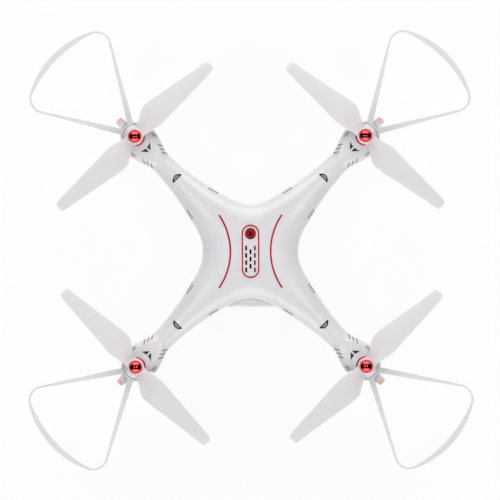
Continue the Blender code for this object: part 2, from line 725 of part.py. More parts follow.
def lamp_outline():
    inner = POD_RADIUS + 2 * GAP
    root = arc(inner, LAMP_ROOT_TURN, -LAMP_ROOT_TURN, 6)
    bulge = arc(LAMP_HALF, -LAMP_BOW_TURN, LAMP_BOW_TURN, 6, (LAMP_REACH - LAMP_HALF, 0))
    return root + bulge


def build_pods():
    pinion_turn = 180 / PINION_TEETH  # a gap between its teeth faces a tooth of the gear
    motor_low = GEAR_Z + GEAR_WIDTH + MOTOR_LIFT
    motor_high = POD_TOP - WALL - MOTOR_HEADROOM
    motor_roof = motor_low + MOTOR_BORE_DEPTH
    gear_top = GEAR_Z + GEAR_WIDTH
    shaft_low = POD_FLOOR + GAP
    shaft_high = NUT_Z + NUT_HEIGHT / 2
    motor_bore = MOTOR_SHAFT_RADIUS + GAP
    flange_low = POD_TOP + GAP
    dome = [(math.cos(math.radians(a)), math.sin(math.radians(a))) for a in range(72, -1, -18)]
    dome_rise = NUT_HEIGHT - NUT_RIM
    guard_low = SEAM_Z + GAP
    lamp_high = SEAM_Z - GAP

    clockwise = propeller_mesh()
    anticlockwise = mirrored(clockwise)
    meshes = {
        "spinner_nut": turned_mesh("spinner_nut", [
            (0, NUT_Z + NUT_HEIGHT),
            *[(NUT_RADIUS * c, NUT_Z + NUT_RIM + dome_rise * s) for c, s in dome],
            (NUT_RADIUS, NUT_Z), (SHAFT_BORE, NUT_Z), (SHAFT_BORE, shaft_high + GAP), (0, shaft_high + GAP),
        ], 16, closed=False),
        "prop_shaft": cylinder_mesh("prop_shaft", SHAFT_RADIUS, shaft_low, shaft_high, 12),
        "drive_gear": outline_mesh("drive_gear", [
            gear_outline(GEAR_TEETH, GEAR_RADIUS, 0), arc(SHAFT_BORE, 0, 330, 11),
        ], GEAR_Z, gear_top),
        "bearing_collar": turned_mesh("bearing_collar", [
            (SHAFT_BORE, flange_low + COLLAR_FLANGE), (COLLAR_RADIUS, flange_low + COLLAR_FLANGE),
            (COLLAR_RADIUS, flange_low), (COLLAR_NECK_RADIUS, flange_low),
            (COLLAR_NECK_RADIUS, POD_TOP - COLLAR_NECK), (SHAFT_BORE, POD_TOP - COLLAR_NECK),
        ], 16),
        "lamp_lens": outline_mesh("lamp_lens", [lamp_outline()], lamp_high - LAMP_HEIGHT, lamp_high),
        "prop_guard": outline_mesh("prop_guard", guard_outlines(), guard_low, guard_low + GUARD_HEIGHT),
        "motor": turned_mesh("motor", [
            (0, motor_high), (MOTOR_RADIUS, motor_high), (MOTOR_RADIUS, motor_low),
            (motor_bore, motor_low), (motor_bore, motor_roof), (0, motor_roof),
        ], 20, closed=False),
        "motor_shaft": cylinder_mesh("motor_shaft", MOTOR_SHAFT_RADIUS, GEAR_Z, motor_roof - GAP, 10),
        "pinion": outline_mesh("pinion", [
            gear_outline(PINION_TEETH, PINION_RADIUS, pinion_turn), arc(motor_bore, 0, 324, 9),
        ], GEAR_Z, gear_top),
    }
    paints = {
        "spinner_nut": red_metal, "prop_shaft": steel, "drive_gear": gear_plastic,
        "bearing_collar": red_metal, "lamp_lens": lamp_pink, "prop_guard": white_satin,
        "motor": steel, "motor_shaft": steel, "pinion": brass,
    }
    for place, turn in CORNERS.items():
        pod = add_empty("pod_" + place, (*polar(MOTOR_S, turn), 0), turn)
        crosswise = math.radians(90 + REST_ANGLES[place])
        propeller = clockwise if place in CLOCKWISE else anticlockwise
        add_part("propeller_" + place, propeller, white_satin, pod, rotation=(0, 0, crosswise))
        for kind, mesh in meshes.items():
            inward = kind in ("motor", "motor_shaft", "pinion")
            add_part(f"{kind}_{place}", mesh, paints[kind], pod, (-MOTOR_OFFSET if inward else 0, 0, 0))


clear_scene()
parts = new_collection("quadcopter")
cutters = new_collection("cutters")
white_gloss = new_material("white_gloss", (0.80, 0.79, 0.82), 0.25)
white_satin = new_material("white_satin", (0.74, 0.73, 0.75), 0.4)
red_trim = new_material("red_trim", (0.40, 0.01, 0.02), 0.35)
red_metal = new_material("red_metal", (0.75, 0.06, 0.07), 0.2, 1.0)
lamp_pink = new_material("lamp_pink", (0.86, 0.60, 0.58), 0.3)
dark_plastic = new_material("dark_plastic", (0.03, 0.03, 0.035), 0.5)
steel = new_material("steel", (0.55, 0.55, 0.57), 0.3, 1.0)
brass = new_material("brass", (0.70, 0.52, 0.22), 0.35, 1.0)
gear_plastic = new_material("gear_plastic", (0.75, 0.74, 0.70), 0.5)
board_green = new_material("board_green", (0.02, 0.16, 0.06), 0.5)
cell_wrap = new_material("cell_wrap", (0.05, 0.10, 0.30), 0.4)
lens_glass = new_material("lens_glass", (0.02, 0.02, 0.03), 0.05)
body_centre = add_empty("body_centre", (0, 0, 0))

case_size = Vector((BATTERY_WIDTH, BATTERY_LENGTH, BATTERY_HEIGHT))
case_front = BATTERY_END_Y + BATTERY_CAP + GAP + BATTERY_LENGTH
case_centre = Vector((0, case_front - BATTERY_LENGTH / 2, BATTERY_LOW + BATTERY_HEIGHT / 2))
bay_size = case_size + Vector((2 * GAP + 2 * BAY_WALL, GAP + BAY_WALL, 2 * GAP + 2 * BAY_WALL))
bay_centre = case_centre + Vector((0, (GAP + BAY_WALL) / 2, 0))
board_low = bay_centre.z + bay_size.z / 2 + GAP
switch_top = board_low + BOARD_THICKNESS + GAP + SWITCH_SIZE[2]

build_shells()
build_deck()
build_electronics()
build_battery()
build_camera()
build_legs()
build_pods()
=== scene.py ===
import math

import bpy
from mathutils import Matrix, Vector


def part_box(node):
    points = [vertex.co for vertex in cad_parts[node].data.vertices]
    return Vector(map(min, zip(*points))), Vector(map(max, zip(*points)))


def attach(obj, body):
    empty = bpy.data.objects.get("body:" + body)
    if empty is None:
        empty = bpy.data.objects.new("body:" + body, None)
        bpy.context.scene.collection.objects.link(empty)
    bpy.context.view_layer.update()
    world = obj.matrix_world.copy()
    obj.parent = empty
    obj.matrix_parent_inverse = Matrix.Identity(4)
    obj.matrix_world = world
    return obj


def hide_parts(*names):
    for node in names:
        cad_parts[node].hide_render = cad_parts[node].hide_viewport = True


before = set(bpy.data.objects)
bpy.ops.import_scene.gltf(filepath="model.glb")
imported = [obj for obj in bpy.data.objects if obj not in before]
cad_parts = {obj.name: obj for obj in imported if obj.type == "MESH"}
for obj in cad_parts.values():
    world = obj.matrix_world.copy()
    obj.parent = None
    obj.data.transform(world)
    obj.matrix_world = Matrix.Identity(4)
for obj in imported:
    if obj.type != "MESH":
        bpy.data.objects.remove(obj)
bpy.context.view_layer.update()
print("frame loaded", len(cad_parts), "nodes")

mm = 0.001
gap = 0.3 * mm
diagonal = math.sqrt(0.5)
corners = {"front_left": 135, "front_right": 45, "rear_left": 225, "rear_right": 315}
seamZ = 136 * mm  # where the two shells meet
motorS = 254 * mm * diagonal  # body centre to rotor axis


# small tools used by every piece

def inMm(**lengths):
    return {name: value * mm for name, value in lengths.items()}


def deselect():
    bpy.ops.object.select_all(action="DESELECT")


def pick(piece):
    deselect()
    piece.select_set(True)
    bpy.context.view_layer.objects.active = piece


def applyAll(piece):
    pick(piece)
    for step in list(piece.modifiers):
        bpy.ops.object.modifier_apply(modifier=step.name)


def settle(piece):
    pick(piece)
    bpy.ops.object.transform_apply(location=True, rotation=True, scale=True)


def editWhole(piece, *changes):  # runs mesh operations on all of a piece
    pick(piece)
    bpy.ops.object.mode_set(mode="EDIT")
    bpy.ops.mesh.select_all(action="SELECT")
    for change in changes:
        change()
    bpy.ops.object.mode_set(mode="OBJECT")


def cleanUp(piece, turnOut=True, distance=1e-6):
    changes = [lambda: bpy.ops.mesh.remove_doubles(threshold=distance)]
    if turnOut:
        changes.append(lambda: bpy.ops.mesh.normals_make_consistent(inside=False))
    editWhole(piece, *changes)


def smooth(piece, degrees):
    pick(piece)
    bpy.ops.object.shade_smooth_by_angle(angle=math.radians(degrees))


def slicePiece(piece, place, normal):  # cuts off and closes what lies beyond a plane
    plane = {"plane_co": place, "plane_no": normal, "threshold": 1e-6}
    editWhole(piece, lambda: bpy.ops.mesh.bisect(use_fill=True, clear_outer=True, **plane))
    cleanUp(piece)


def blank(name, data=None):  # a new object for a mesh, curve, light or camera
    piece = bpy.data.objects.new(name, data or bpy.data.meshes.new(name))
    bpy.context.scene.collection.objects.link(piece)
    return piece


def meshFrom(curve):
    pick(blank(curve.name, curve))
    bpy.ops.object.convert(target="MESH")
    return bpy.context.view_layer.objects.active


def addBevel(piece, width, segments, degrees):
    step = piece.modifiers.new("edge", "BEVEL")
    step.width = width
    step.segments = segments
    step.limit_method = "ANGLE"
    step.angle_limit = math.radians(degrees)


def bevelEdges(piece, width, segments=3, degrees=35):
    addBevel(piece, width, segments, degrees)
    applyAll(piece)


def addThickness(piece, thickness, offset=-1):
    step = piece.modifiers.new("wall", "SOLIDIFY")
    step.thickness = thickness
    step.offset = offset
    return step


def combine(piece, other, operation="DIFFERENCE"):
    step = piece.modifiers.new("cut", "BOOLEAN")
    step.operation = operation
    step.object = other
    step.solver = "EXACT"
    applyAll(piece)
    bpy.data.objects.remove(other)


def polar(radius, degrees, centre=(0, 0)):
    angle = math.radians(degrees)
    return (centre[0] + radius * math.cos(angle), centre[1] + radius * math.sin(angle))


def arc(radius, start, end, steps, centre=(0, 0)):
    return [polar(radius, start + (end - start) * k / steps, centre) for k in range(steps + 1)]


def turnPoints(points, degrees):
    spin = Matrix.Rotation(math.radians(degrees), 2)
    return [tuple(spin @ Vector(point)) for point in points]


def capsule(length, width, place, degrees, steps=5):
    half = (length - width) / 2
    ends = arc(width / 2, -90, 90, steps, (half, 0)) + arc(width / 2, 90, 270, steps, (-half, 0))
    return [(place[0] + x, place[1] + y) for x, y in turnPoints(ends, degrees)]


def smoothStep(value, low, high):
    k = min(max((value - low) / (high - low), 0), 1)
    return k * k * (3 - 2 * k)


def flatPiece(name, outlines, low, high):  # outlines with holes, extruded
    curve = bpy.data.curves.new(name, "CURVE")
    curve.dimensions = "2D"
    curve.fill_mode = "BOTH"
    curve.extrude = (high - low) / 2
    for outline in outlines:
        spline = curve.splines.new("POLY")
        spline.points.add(len(outline) - 1)
        spline.use_cyclic_u = True
        for point, (x, y) in zip(spline.points, outline):
            point.co = (x, y, 0, 1)
    piece = meshFrom(curve)
    piece.location.z = (low + high) / 2
    settle(piece)
    cleanUp(piece, distance=1e-7)
    return piece


def spunPiece(name, profile, steps=64):  # profile of (radius, height) turned round the upright axis
    piece = blank(name)
    edges = [(k, k + 1) for k in range(len(profile) - 1)]
    piece.data.from_pydata([(radius, 0, z) for radius, z in profile], edges, [])
    turn = {"angle": 2 * math.pi, "center": (0, 0, 0), "axis": (0, 0, 1)}
    editWhole(piece, lambda: bpy.ops.mesh.spin(steps=steps, **turn))
    cleanUp(piece)
    return piece


def block(size, place):
    deselect()
    bpy.ops.mesh.primitive_cube_add(size=1)
    piece = bpy.context.view_layer.objects.active
    piece.scale = size
    piece.location = place
    settle(piece)
    return piece


def grid(along, across):
    deselect()
    bpy.ops.mesh.primitive_grid_add(x_subdivisions=along, y_subdivisions=across, size=2)
    return bpy.context.view_layer.objects.active


def rounded(points, radius, steps=4):  # a profile with its inner corners rounded
    sideShare = 0.45  # of a side, at most, goes into each corner
    result = [points[0]]
    for before, here, after in zip(points, points[1:], points[2:]):
        here = Vector(here)
        back = Vector(before) - here
        ahead = Vector(after) - here
        reach = min(radius, back.length * sideShare, ahead.length * sideShare)
        first = here + back.normalized() * reach
        last = here + ahead.normalized() * reach
        for k in range(steps + 1):
            t = k / steps
            result.append(tuple(first * (1 - t) ** 2 + here * 2 * t * (1 - t) + last * t * t))
    return result + [points[-1]]


def podMatrix(place):
    turn = corners[place]
    return Matrix.Translation((*polar(motorS, turn), 0)) @ Matrix.Rotation(math.radians(turn), 4, "Z")


def finishPiece(piece, name, paints, body, slotName, *nodes, angle=35):
    smooth(piece, angle)
    piece.name = name
    piece.data.name = name
    if not isinstance(paints, (list, tuple)):
        paints = [paints]
    if len(piece.data.materials) != len(paints):
        piece.data.materials.clear()
        for paint in paints:
            piece.data.materials.append(paint)
    else:
        for index, paint in enumerate(paints):
            piece.data.materials[index] = paint
    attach(piece, body)
    if nodes:
        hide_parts(*nodes)


def placeName(stem, place):  # front_left becomes stemFrontLeft
    return stem + place.title().replace("_", "")


def atEachPod(piece, name, paint, bodyName, slotName, node, turns=None):
    for place in corners:
        copy = blank(name, piece.data.copy())
        turn = math.radians((turns or {}).get(place, 0))
        copy.data.transform(podMatrix(place) @ Matrix.Rotation(turn, 4, "Z"))
        finishPiece(copy, placeName(name, place), paint, bodyName.format(place), slotName, f"{node}_{place}")
    bpy.data.objects.remove(piece)


# finishes

skinSizes = {
    "cloudScale": 14, "cloudDetail": 4, "grainDetail": 3, "unevenGloss": 0.08, "bumpDepth": 0.5 * mm,
    "coatRoughness": 0.08,
}


def addNode(tree, kind, operation=None):
    node = tree.nodes.new("ShaderNode" + kind)
    if operation:
        node.operation = operation
    return node


def setInputs(node, values):
    for socket, value in values.items():
        node.inputs[socket].default_value = value


def wire(source, output, target, socket):
    source.id_data.links.new(source.outputs[output], target.inputs[socket])


def newGroup(name, inputs, outputs):
    group = bpy.data.node_groups.new(name, "ShaderNodeTree")
    for socket, kind, value in inputs:
        item = group.interface.new_socket(name=socket, in_out="INPUT", socket_type=kind)
        item.default_value = value
    for socket, kind in outputs:
        group.interface.new_socket(name=socket, in_out="OUTPUT", socket_type=kind)
    return group, group.nodes.new("NodeGroupInput"), group.nodes.new("NodeGroupOutput")


def mouldedSkin():  # fine mould texture, faint tone drift and uneven gloss
    inputs = [
        ("Color", "NodeSocketColor", (0.8, 0.8, 0.8, 1)), ("Drift", "NodeSocketFloat", 0.04),
        ("Roughness", "NodeSocketFloat", 0.3), ("Grain Scale", "NodeSocketFloat", 900.0),
    ]
    outputs = [("Color", "NodeSocketColor"), ("Roughness", "NodeSocketFloat"), ("Grain", "NodeSocketFloat")]
    group, start, end = newGroup("mouldedSkin", inputs, outputs)
    where = addNode(group, "TexCoord")
    cloud = addNode(group, "TexNoise")
    setInputs(cloud, {"Scale": skinSizes["cloudScale"], "Detail": skinSizes["cloudDetail"]})
    grain = addNode(group, "TexNoise")
    setInputs(grain, {"Detail": skinSizes["grainDetail"]})
    wire(where, "Object", cloud, "Vector")
    wire(where, "Object", grain, "Vector")
    wire(start, "Grain Scale", grain, "Scale")
    shade = addNode(group, "Math", "MULTIPLY")  # 1 - drift * cloud
    wire(cloud, "Fac", shade, 0)
    wire(start, "Drift", shade, 1)
    dim = addNode(group, "Math", "SUBTRACT")
    setInputs(dim, {0: 1.0})
    wire(shade, 0, dim, 1)
    tone = addNode(group, "VectorMath", "SCALE")
    wire(start, "Color", tone, 0)
    wire(dim, 0, tone, "Scale")
    wire(tone, 0, end, "Color")
    uneven = addNode(group, "Math", "MULTIPLY_ADD")
    setInputs(uneven, {1: skinSizes["unevenGloss"]})
    wire(cloud, "Fac", uneven, 0)
    wire(start, "Roughness", uneven, 2)
    wire(uneven, 0, end, "Roughness")
    wire(grain, "Fac", end, "Grain")
    return group


skinGroup = mouldedSkin()


def finish(
    name, colour, roughness, metallic=0.0, drift=0.05, grainScale=900.0, grain=0.02, coat=0.0, shine=0.5,
):
    paint = bpy.data.materials.new(name)
    paint.use_nodes = True
    tree = paint.node_tree
    shader = tree.nodes["Principled BSDF"]
    skin = addNode(tree, "Group")
    skin.node_tree = skinGroup
    values = {"Color": (*colour, 1), "Drift": drift, "Roughness": roughness, "Grain Scale": grainScale}
    setInputs(skin, values)
    bump = addNode(tree, "Bump")
    setInputs(bump, {"Strength": grain, "Distance": skinSizes["bumpDepth"]})
    wire(skin, "Color", shader, "Base Color")
    wire(skin, "Roughness", shader, "Roughness")
    wire(skin, "Grain", bump, "Height")
    wire(bump, "Normal", shader, "Normal")
    setInputs(shader, {"Metallic": metallic, "Specular IOR Level": shine})
    setInputs(shader, {"Coat Weight": coat, "Coat Roughness": skinSizes["coatRoughness"]})
    return paint


whiteGloss = finish("whiteGloss", (0.735, 0.725, 0.75), 0.29, drift=0.03, shine=0.9)
whiteUnder = finish("whiteUnder", (0.75, 0.745, 0.765), 0.36, drift=0.04)
# a lighter copy of the underside white: painted light against the shade the battery cap sits in under the
# shell
capWhitePaintedLight = finish("capWhitePaintedLight", (0.80, 0.795, 0.81), 0.36, drift=0.04)
bladeWhite = finish("bladeWhite", (0.76, 0.735, 0.765), 0.36, grainScale=1400, grain=0.04)
guardWhite = finish("guardWhite", (0.75, 0.75, 0.75), 0.38, grainScale=1400, grain=0.05)
# near-black for the inner faces of the white shells: painted shade for the dark inside of the body
shellInsidePaintedShade = finish("shellInsidePaintedShade", (0.05, 0.045, 0.05), 0.7, drift=0.2, grain=0.1)
redLine = finish("redLine", (0.52, 0.001, 0.006), 0.4, drift=0.3, shine=0.1)
redButton = finish("redButton", (0.30, 0.002, 0.006), 0.2, drift=0.3, shine=0.3)
lightRed = finish("lightRed", (0.80, 0.006, 0.014), 0.4, drift=0.2)
# dark red for the plate under the deck slots: painted shade for the hollow below them
slotPaintedShadeRed = finish("slotPaintedShadeRed", (0.09, 0.001, 0.002), 0.8, drift=0.3, shine=0.05)
# black for the sunk button mark and the sheet under the leaf grille: painted shade in these hollows
paintedShadeBlack = finish("paintedShadeBlack", (0.004, 0.003, 0.003), 0.9, drift=0.3, shine=0.05)
redMetal = finish(
    "redMetal", (0.80, 0.05, 0.055), 0.09, metallic=1.0, drift=0.12, grainScale=2500, grain=0.015, coat=0.5,
)
redCollar = finish("redCollar", (0.62, 0.035, 0.05), 0.38, metallic=0.6, drift=0.15, grainScale=2500)
lampPink = finish("lampPink", (0.96, 0.70, 0.66), 0.22, drift=0.1)
# grey for the white guard's clip tongues: a shaded copy of the guard white, painted shade in their pockets
clipPaintedShadeGrey = finish("clipPaintedShadeGrey", (0.50, 0.51, 0.49), 0.4, drift=0.1)
# brown-grey of the louvres' shaded inside, painted on sheets sunk in the slots as painted shade
louvrePaintedShadeBrown = finish("louvrePaintedShadeBrown", (0.40, 0.33, 0.29), 0.6, drift=0.25)
screenGrey = finish("screenGrey", (0.34, 0.295, 0.29), 0.5, drift=0.4, grainScale=500, grain=0.3)
blackPlastic = finish("blackPlastic", (0.022, 0.022, 0.025), 0.42, drift=0.25, grainScale=1600, grain=0.08)
steelBright = finish("steelBright", (0.58, 0.58, 0.60), 0.26, metallic=1.0, drift=0.15, grainScale=3000)
motorCan = finish("motorCan", (0.05, 0.05, 0.055), 0.45, drift=0.2, grainScale=2500)
brassTeeth = finish("brassTeeth", (0.70, 0.50, 0.20), 0.32, metallic=1.0, drift=0.15)
nylonTeeth = finish("nylonTeeth", (0.72, 0.70, 0.64), 0.5, drift=0.08)
boardGreen = finish("boardGreen", (0.015, 0.14, 0.05), 0.4, drift=0.3, grainScale=700, grain=0.1)
cellWrap = finish("cellWrap", (0.04, 0.09, 0.28), 0.35, drift=0.15)
lensGlass = finish("lensGlass", (0.012, 0.012, 0.03), 0.04, drift=0.3, grain=0.0, coat=1.0)
lensRing = finish("lensRing", (0.10, 0.10, 0.11), 0.25, metallic=1.0, drift=0.2)
rubberGrey = finish("rubberGrey", (0.10, 0.10, 0.10), 0.7, drift=0.2, grainScale=1200, grain=0.15)


def paleTowardsBody(paint, pale, start, end):  # the lamp's clear base, by distance from the body's centre
    tree = paint.node_tree
    where = addNode(tree, "TexCoord")
    flat = addNode(tree, "VectorMath", "MULTIPLY")
    setInputs(flat, {1: (1, 1, 0)})
    reach = addNode(tree, "VectorMath", "LENGTH")
    share = addNode(tree, "MapRange")
    setInputs(share, {"From Min": start, "From Max": end})
    blend = addNode(tree, "Mix")  # colours are inputs 6 and 7 and output 2
    blend.data_type = "RGBA"
    setInputs(blend, {6: (*pale, 1)})
    shader = tree.nodes["Principled BSDF"]
    tone = shader.inputs["Base Color"].links[0].from_socket
    wire(where, "Object", flat, 0)
    wire(flat, 0, reach, 0)
    wire(reach, "Value", share, "Value")
    wire(share, "Result", blend, 0)
    tree.links.new(tone, blend.inputs[7])
    wire(blend, 2, shader, "Base Color")


lampFade = {"pale": (0.80, 0.805, 0.80), "start": 19.5 * mm, "end": 23 * mm}  # out from the rotor axis
paleTowardsBody(lampPink, lampFade["pale"], motorS + lampFade["start"], motorS + lampFade["end"])
print("finishes made")

nodePaints = {
    "motor_shaft": steelBright, "motor": motorCan, "prop_shaft": steelBright, "drive_gear": nylonTeeth,
    "pinion": brassTeeth, "main_board": boardGreen, "power_switch": blackPlastic, "battery_bay": blackPlastic,
    "battery_case": blackPlastic, "battery_cells": cellWrap, "camera_bracket": blackPlastic,
    "camera_hinge_pin": steelBright,
}
for nodeName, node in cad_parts.items():
    for stem, paint in nodePaints.items():
        if nodeName == stem or nodeName.startswith(stem + "_f") or nodeName.startswith(stem + "_r"):
            for socket in node.material_slots:
                socket.material = paint


# the two body shells

shellSizes = inMm(
    waist=52, neckS=136, neckHalf=11.8, taper=19, flareS=139, shoulderS=170, shoulderHalf=19.8,
    bossRadius=13.2, podRadius=16.2, deckRise=16, armRise=11, podRise=13, bellyDepth=43, armDepth=13,
    podDepth=24, wall=1.8, deckEndS=55, bellyEndS=40, mouthLength=75, armLevelS=125, podLevelS=155,
    collarHole=4.3, shaftHole=1.8,
) | {
    "taperPower": 1.6, "podTurn": 115, "armSteps": 54, "podSteps": 26, "skinSteps": 20, "rowPower": 1.25,
    "crownRun": 2.2, "merge": 1e-5, "weld": 2e-6, "smoothAngle": 40,
    "upperFullness": (2.4, 2.0, 4.5), "lowerFullness": (4, 2.6, 6),  # centre, arm, pod
}
deckTop = seamZ + shellSizes["deckRise"] + gap


def armHalfWidth(s):
    z = shellSizes
    waistS = z["waist"] * diagonal
    run = z["neckS"] - waistS
    x = max((z["neckS"] - s) / run, 0)
    root = waistS - z["neckHalf"] - z["taper"]
    rootPower = (run - z["taperPower"] * z["taper"]) / root  # the waist then turns the corner smoothly
    flare = (z["shoulderHalf"] - z["neckHalf"]) * smoothStep(s, z["flareS"], z["shoulderS"])
    return z["neckHalf"] + z["taper"] * x ** z["taperPower"] + root * x**rootPower + flare


def heightAlong(s, centre, arm, pod, levelEnd):
    z = shellSizes
    value = centre - (centre - arm) * smoothStep(s, levelEnd, z["armLevelS"])
    return value + (pod - arm) * smoothStep(s, z["flareS"], z["podLevelS"])


def upperRise(s):
    z = shellSizes
    return heightAlong(s, z["deckRise"], z["armRise"], z["podRise"], z["deckEndS"])


def lowerDepth(s):
    z = shellSizes
    return heightAlong(s, z["bellyDepth"], z["armDepth"], z["podDepth"], z["bellyEndS"])


def fullness(s, centre, arm, pod):
    return heightAlong(s, centre, arm, pod, shellSizes["bellyEndS"])


def sectionRows(tipRadius, holeRadius):
    z = shellSizes
    waistS = z["waist"] * diagonal
    rows = []
    for k in range(z["armSteps"] + 1):
        s = waistS + (z["shoulderS"] - waistS) * (k / z["armSteps"]) ** z["rowPower"]
        crown = s - waistS * (1 - smoothStep(s, waistS, z["crownRun"] * waistS))
        rows.append(((s, armHalfWidth(s)), (crown, 0)))
    for k in range(z["podSteps"] + 1):
        share = 1 - k / z["podSteps"]
        edge = polar(tipRadius, z["podTurn"] * share, (motorS, 0))
        rows.append((edge, polar(holeRadius, 180 * share, (motorS, 0))))
    return rows


def shellSkin(name, tipRadius, holeRadius, height, squareness, sign):
    z = shellSizes
    rows = sectionRows(tipRadius, holeRadius)
    piece = grid(len(rows) - 1, z["skinSteps"])
    piece.name = name
    for vert in piece.data.vertices:
        edge, crown = rows[round((vert.co.x + 1) / 2 * (len(rows) - 1))]
        angle = (vert.co.y + 1) / 2 * math.pi / 2
        power = 2 / fullness(crown[0], *squareness)
        out = max(math.cos(angle), 0) ** power
        x = crown[0] + (edge[0] - crown[0]) * out
        y = crown[1] + (edge[1] - crown[1]) * out
        vert.co = (x, y, seamZ + sign * (gap + height(x) * math.sin(angle) ** power))
    if sign > 0:
        editWhole(piece, bpy.ops.mesh.flip_normals)
    mirrorPiece(piece, False)  # half an arm becomes a whole one
    piece.rotation_euler.z = math.radians(corners["front_right"])
    settle(piece)
    mirrorPiece(piece, True)  # one arm becomes four
    cleanUp(piece, turnOut=False, distance=z["weld"])
    return piece


def mirrorPiece(piece, bothWays):
    step = piece.modifiers.new("mirror", "MIRROR")
    step.use_axis = (bothWays, True, False)
    step.merge_threshold = shellSizes["merge"]
    applyAll(piece)


def addWall(piece):
    piece.data.materials.append(whiteGloss)
    piece.data.materials.append(shellInsidePaintedShade)
    wall = addThickness(piece, shellSizes["wall"])
    wall.use_even_offset = True
    # the inner faces take the near-black painted shade
    wall.material_offset = 1
    wall.material_offset_rim = 0
    applyAll(piece)


def finishShell(piece, name, paint, node):
    angle = shellSizes["smoothAngle"]
    finishPiece(piece, name, [paint, shellInsidePaintedShade], "airframe", "white_gloss", node, angle=angle)


ventSizes = inMm(
    slotWidth=2.2, slotLength=5.8, slotPitch=8, slotColumn=4.85, slotTopY=3.5, leafS=113.3,
    leafChord=13.2, leafBulge=4.9, podInner=17.7, podOuter=23.2, buttonY=19.4, buttonHole=6.2,
    barSunk=0.8, screenSunk=1.1, tongueSunk=0.5, insetFit=0.04, insetThick=0.6, grilleInset=0.95,
    grilleTip=1.5, grilleSunk=0.7,
) | {
    "slotColumns": ((-1, 4, 0), (0, 3, 0.5), (1, 4, 0)),  # side, count, drop in pitches
    "ventTurns": (3, 26), "rootCount": 4, "rootLouvre": (3.5 * mm, 1.3 * mm),
    "rootPlace": (72 * mm, 19.3 * mm), "rootStep": (3 * mm, -0.65 * mm), "rootTurn": 108,
    "podLouvre": (5.8 * mm, 1.3 * mm), "podTurn": 31,
    "podPlaces": ((-26.4 * mm, 12.6 * mm), (-30.9 * mm, 11.2 * mm), (-35.7 * mm, 9.9 * mm)),
    "notch": (6.4 * mm, 2.8 * mm), "notchPlace": (-12.9 * mm, 15.6 * mm),
    "cutLow": 2.5 * mm, "plugLow": 3 * mm, "cutHigh": 30 * mm,  # above the seam
}


def deckOutlines():
    z = ventSizes
    outlines = [arc(z["buttonHole"], 0, 354, 59, (0, z["buttonY"]))]
    for column, count, drop in z["slotColumns"]:
        for k in range(count):
            place = (z["slotColumn"] * column, z["slotTopY"] - z["slotPitch"] * (k + drop))
            outlines.append(capsule(z["slotLength"], z["slotWidth"], place, 90))
    return outlines


def leafOutline(inset=0.0, tip=0.0):  # in the arm's own frame, x along the arm
    z = ventSizes
    chord = z["leafChord"] - 2 * inset - 2 * tip
    bulge = z["leafBulge"] - 2 * inset
    radius = (chord**2 / 4 + bulge**2) / (2 * bulge)
    turn = math.degrees(math.asin(chord / 2 / radius))
    return arc(radius, -turn, turn, 20, (z["leafS"] + inset + bulge - radius, 0))


def podVents():
    z = ventSizes
    near, far = z["ventTurns"]
    outlines = []
    for side in (-1, 1):
        rim = arc(z["podInner"], 180 + side * far, 180 + side * near, 8, (motorS, 0))
        outlines.append(rim + [polar(z["podOuter"], 180 + side * near, (motorS, 0))])
    return outlines


def insetSlot(size, inset, place, degrees):
    length, width = size
    return capsule(length - 2 * inset, width - 2 * inset, place, degrees)


def louvres(inset=0.0):
    z = ventSizes
    outlines = []
    for side in (-1, 1):
        for k in range(z["rootCount"]):  # small ones at the root of the arm
            s, v = [first + k * step for first, step in zip(z["rootPlace"], z["rootStep"])]
            outlines.append(insetSlot(z["rootLouvre"], inset, (s, side * v), side * z["rootTurn"]))
        for u, v in z["podPlaces"]:  # long ones by the pod
            place = (motorS + u, side * v)
            outlines.append(insetSlot(z["podLouvre"], inset, place, 180 - side * z["podTurn"]))
    return outlines


def clipPockets(inset=0.0):
    u, v = ventSizes["notchPlace"]
    return [insetSlot(ventSizes["notch"], inset, (motorS + u, side * v), 0) for side in (-1, 1)]


def onEachArm(outlines):
    return [turnPoints(outline, turn) for turn in corners.values() for outline in outlines]


def buildUpperShell():
    z = shellSizes
    piece = shellSkin("upperShell", z["bossRadius"], z["collarHole"], upperRise, z["upperFullness"], 1)
    skin = blank("skin", piece.data.copy())
    addWall(piece)
    outlines = deckOutlines() + onEachArm([leafOutline()] + podVents() + louvres() + clipPockets())
    v = ventSizes
    cutter = flatPiece("openings", outlines, seamZ + v["cutLow"], seamZ + v["cutHigh"])
    cutter.data.materials.append(whiteGloss)
    combine(piece, cutter)
    finishShell(piece, "upperShell", whiteGloss, "upper_shell")
    inset = v["insetFit"]
    grille = leafOutline(v["grilleInset"], v["grilleTip"])
    # these insets carry painted shade in the openings: brown-grey sheets in the louvres, a black sheet under
    # the leaf grille and grey tongues in the clip pockets
    for name, shapes, depth, paint in (
        ("louvreShadeSheets", louvres(inset), v["barSunk"], louvrePaintedShadeBrown),
        ("leafShadeSheets", [leafOutline(inset)], v["screenSunk"], paintedShadeBlack),
        ("leafGrilles", [grille], v["grilleSunk"], screenGrey),
        ("clipTongues", clipPockets(inset), v["tongueSunk"], clipPaintedShadeGrey),
    ):
        fillOpenings(skin, name, shapes, depth, paint)
    bpy.data.objects.remove(skin)


def fillOpenings(skin, name, shapes, depth, paint):  # thin insets that follow the skin, sunk by a depth
    z = ventSizes
    sheet = blank(name, skin.data.copy())
    editWhole(sheet, lambda: bpy.ops.transform.shrink_fatten(value=-depth, use_even_offset=True))
    addThickness(sheet, z["insetThick"])
    applyAll(sheet)
    plugs = flatPiece("plugs", onEachArm(shapes), seamZ + z["plugLow"], seamZ + z["cutHigh"])
    combine(sheet, plugs, "INTERSECT")
    finishPiece(sheet, name, paint, "airframe", "dark_plastic")


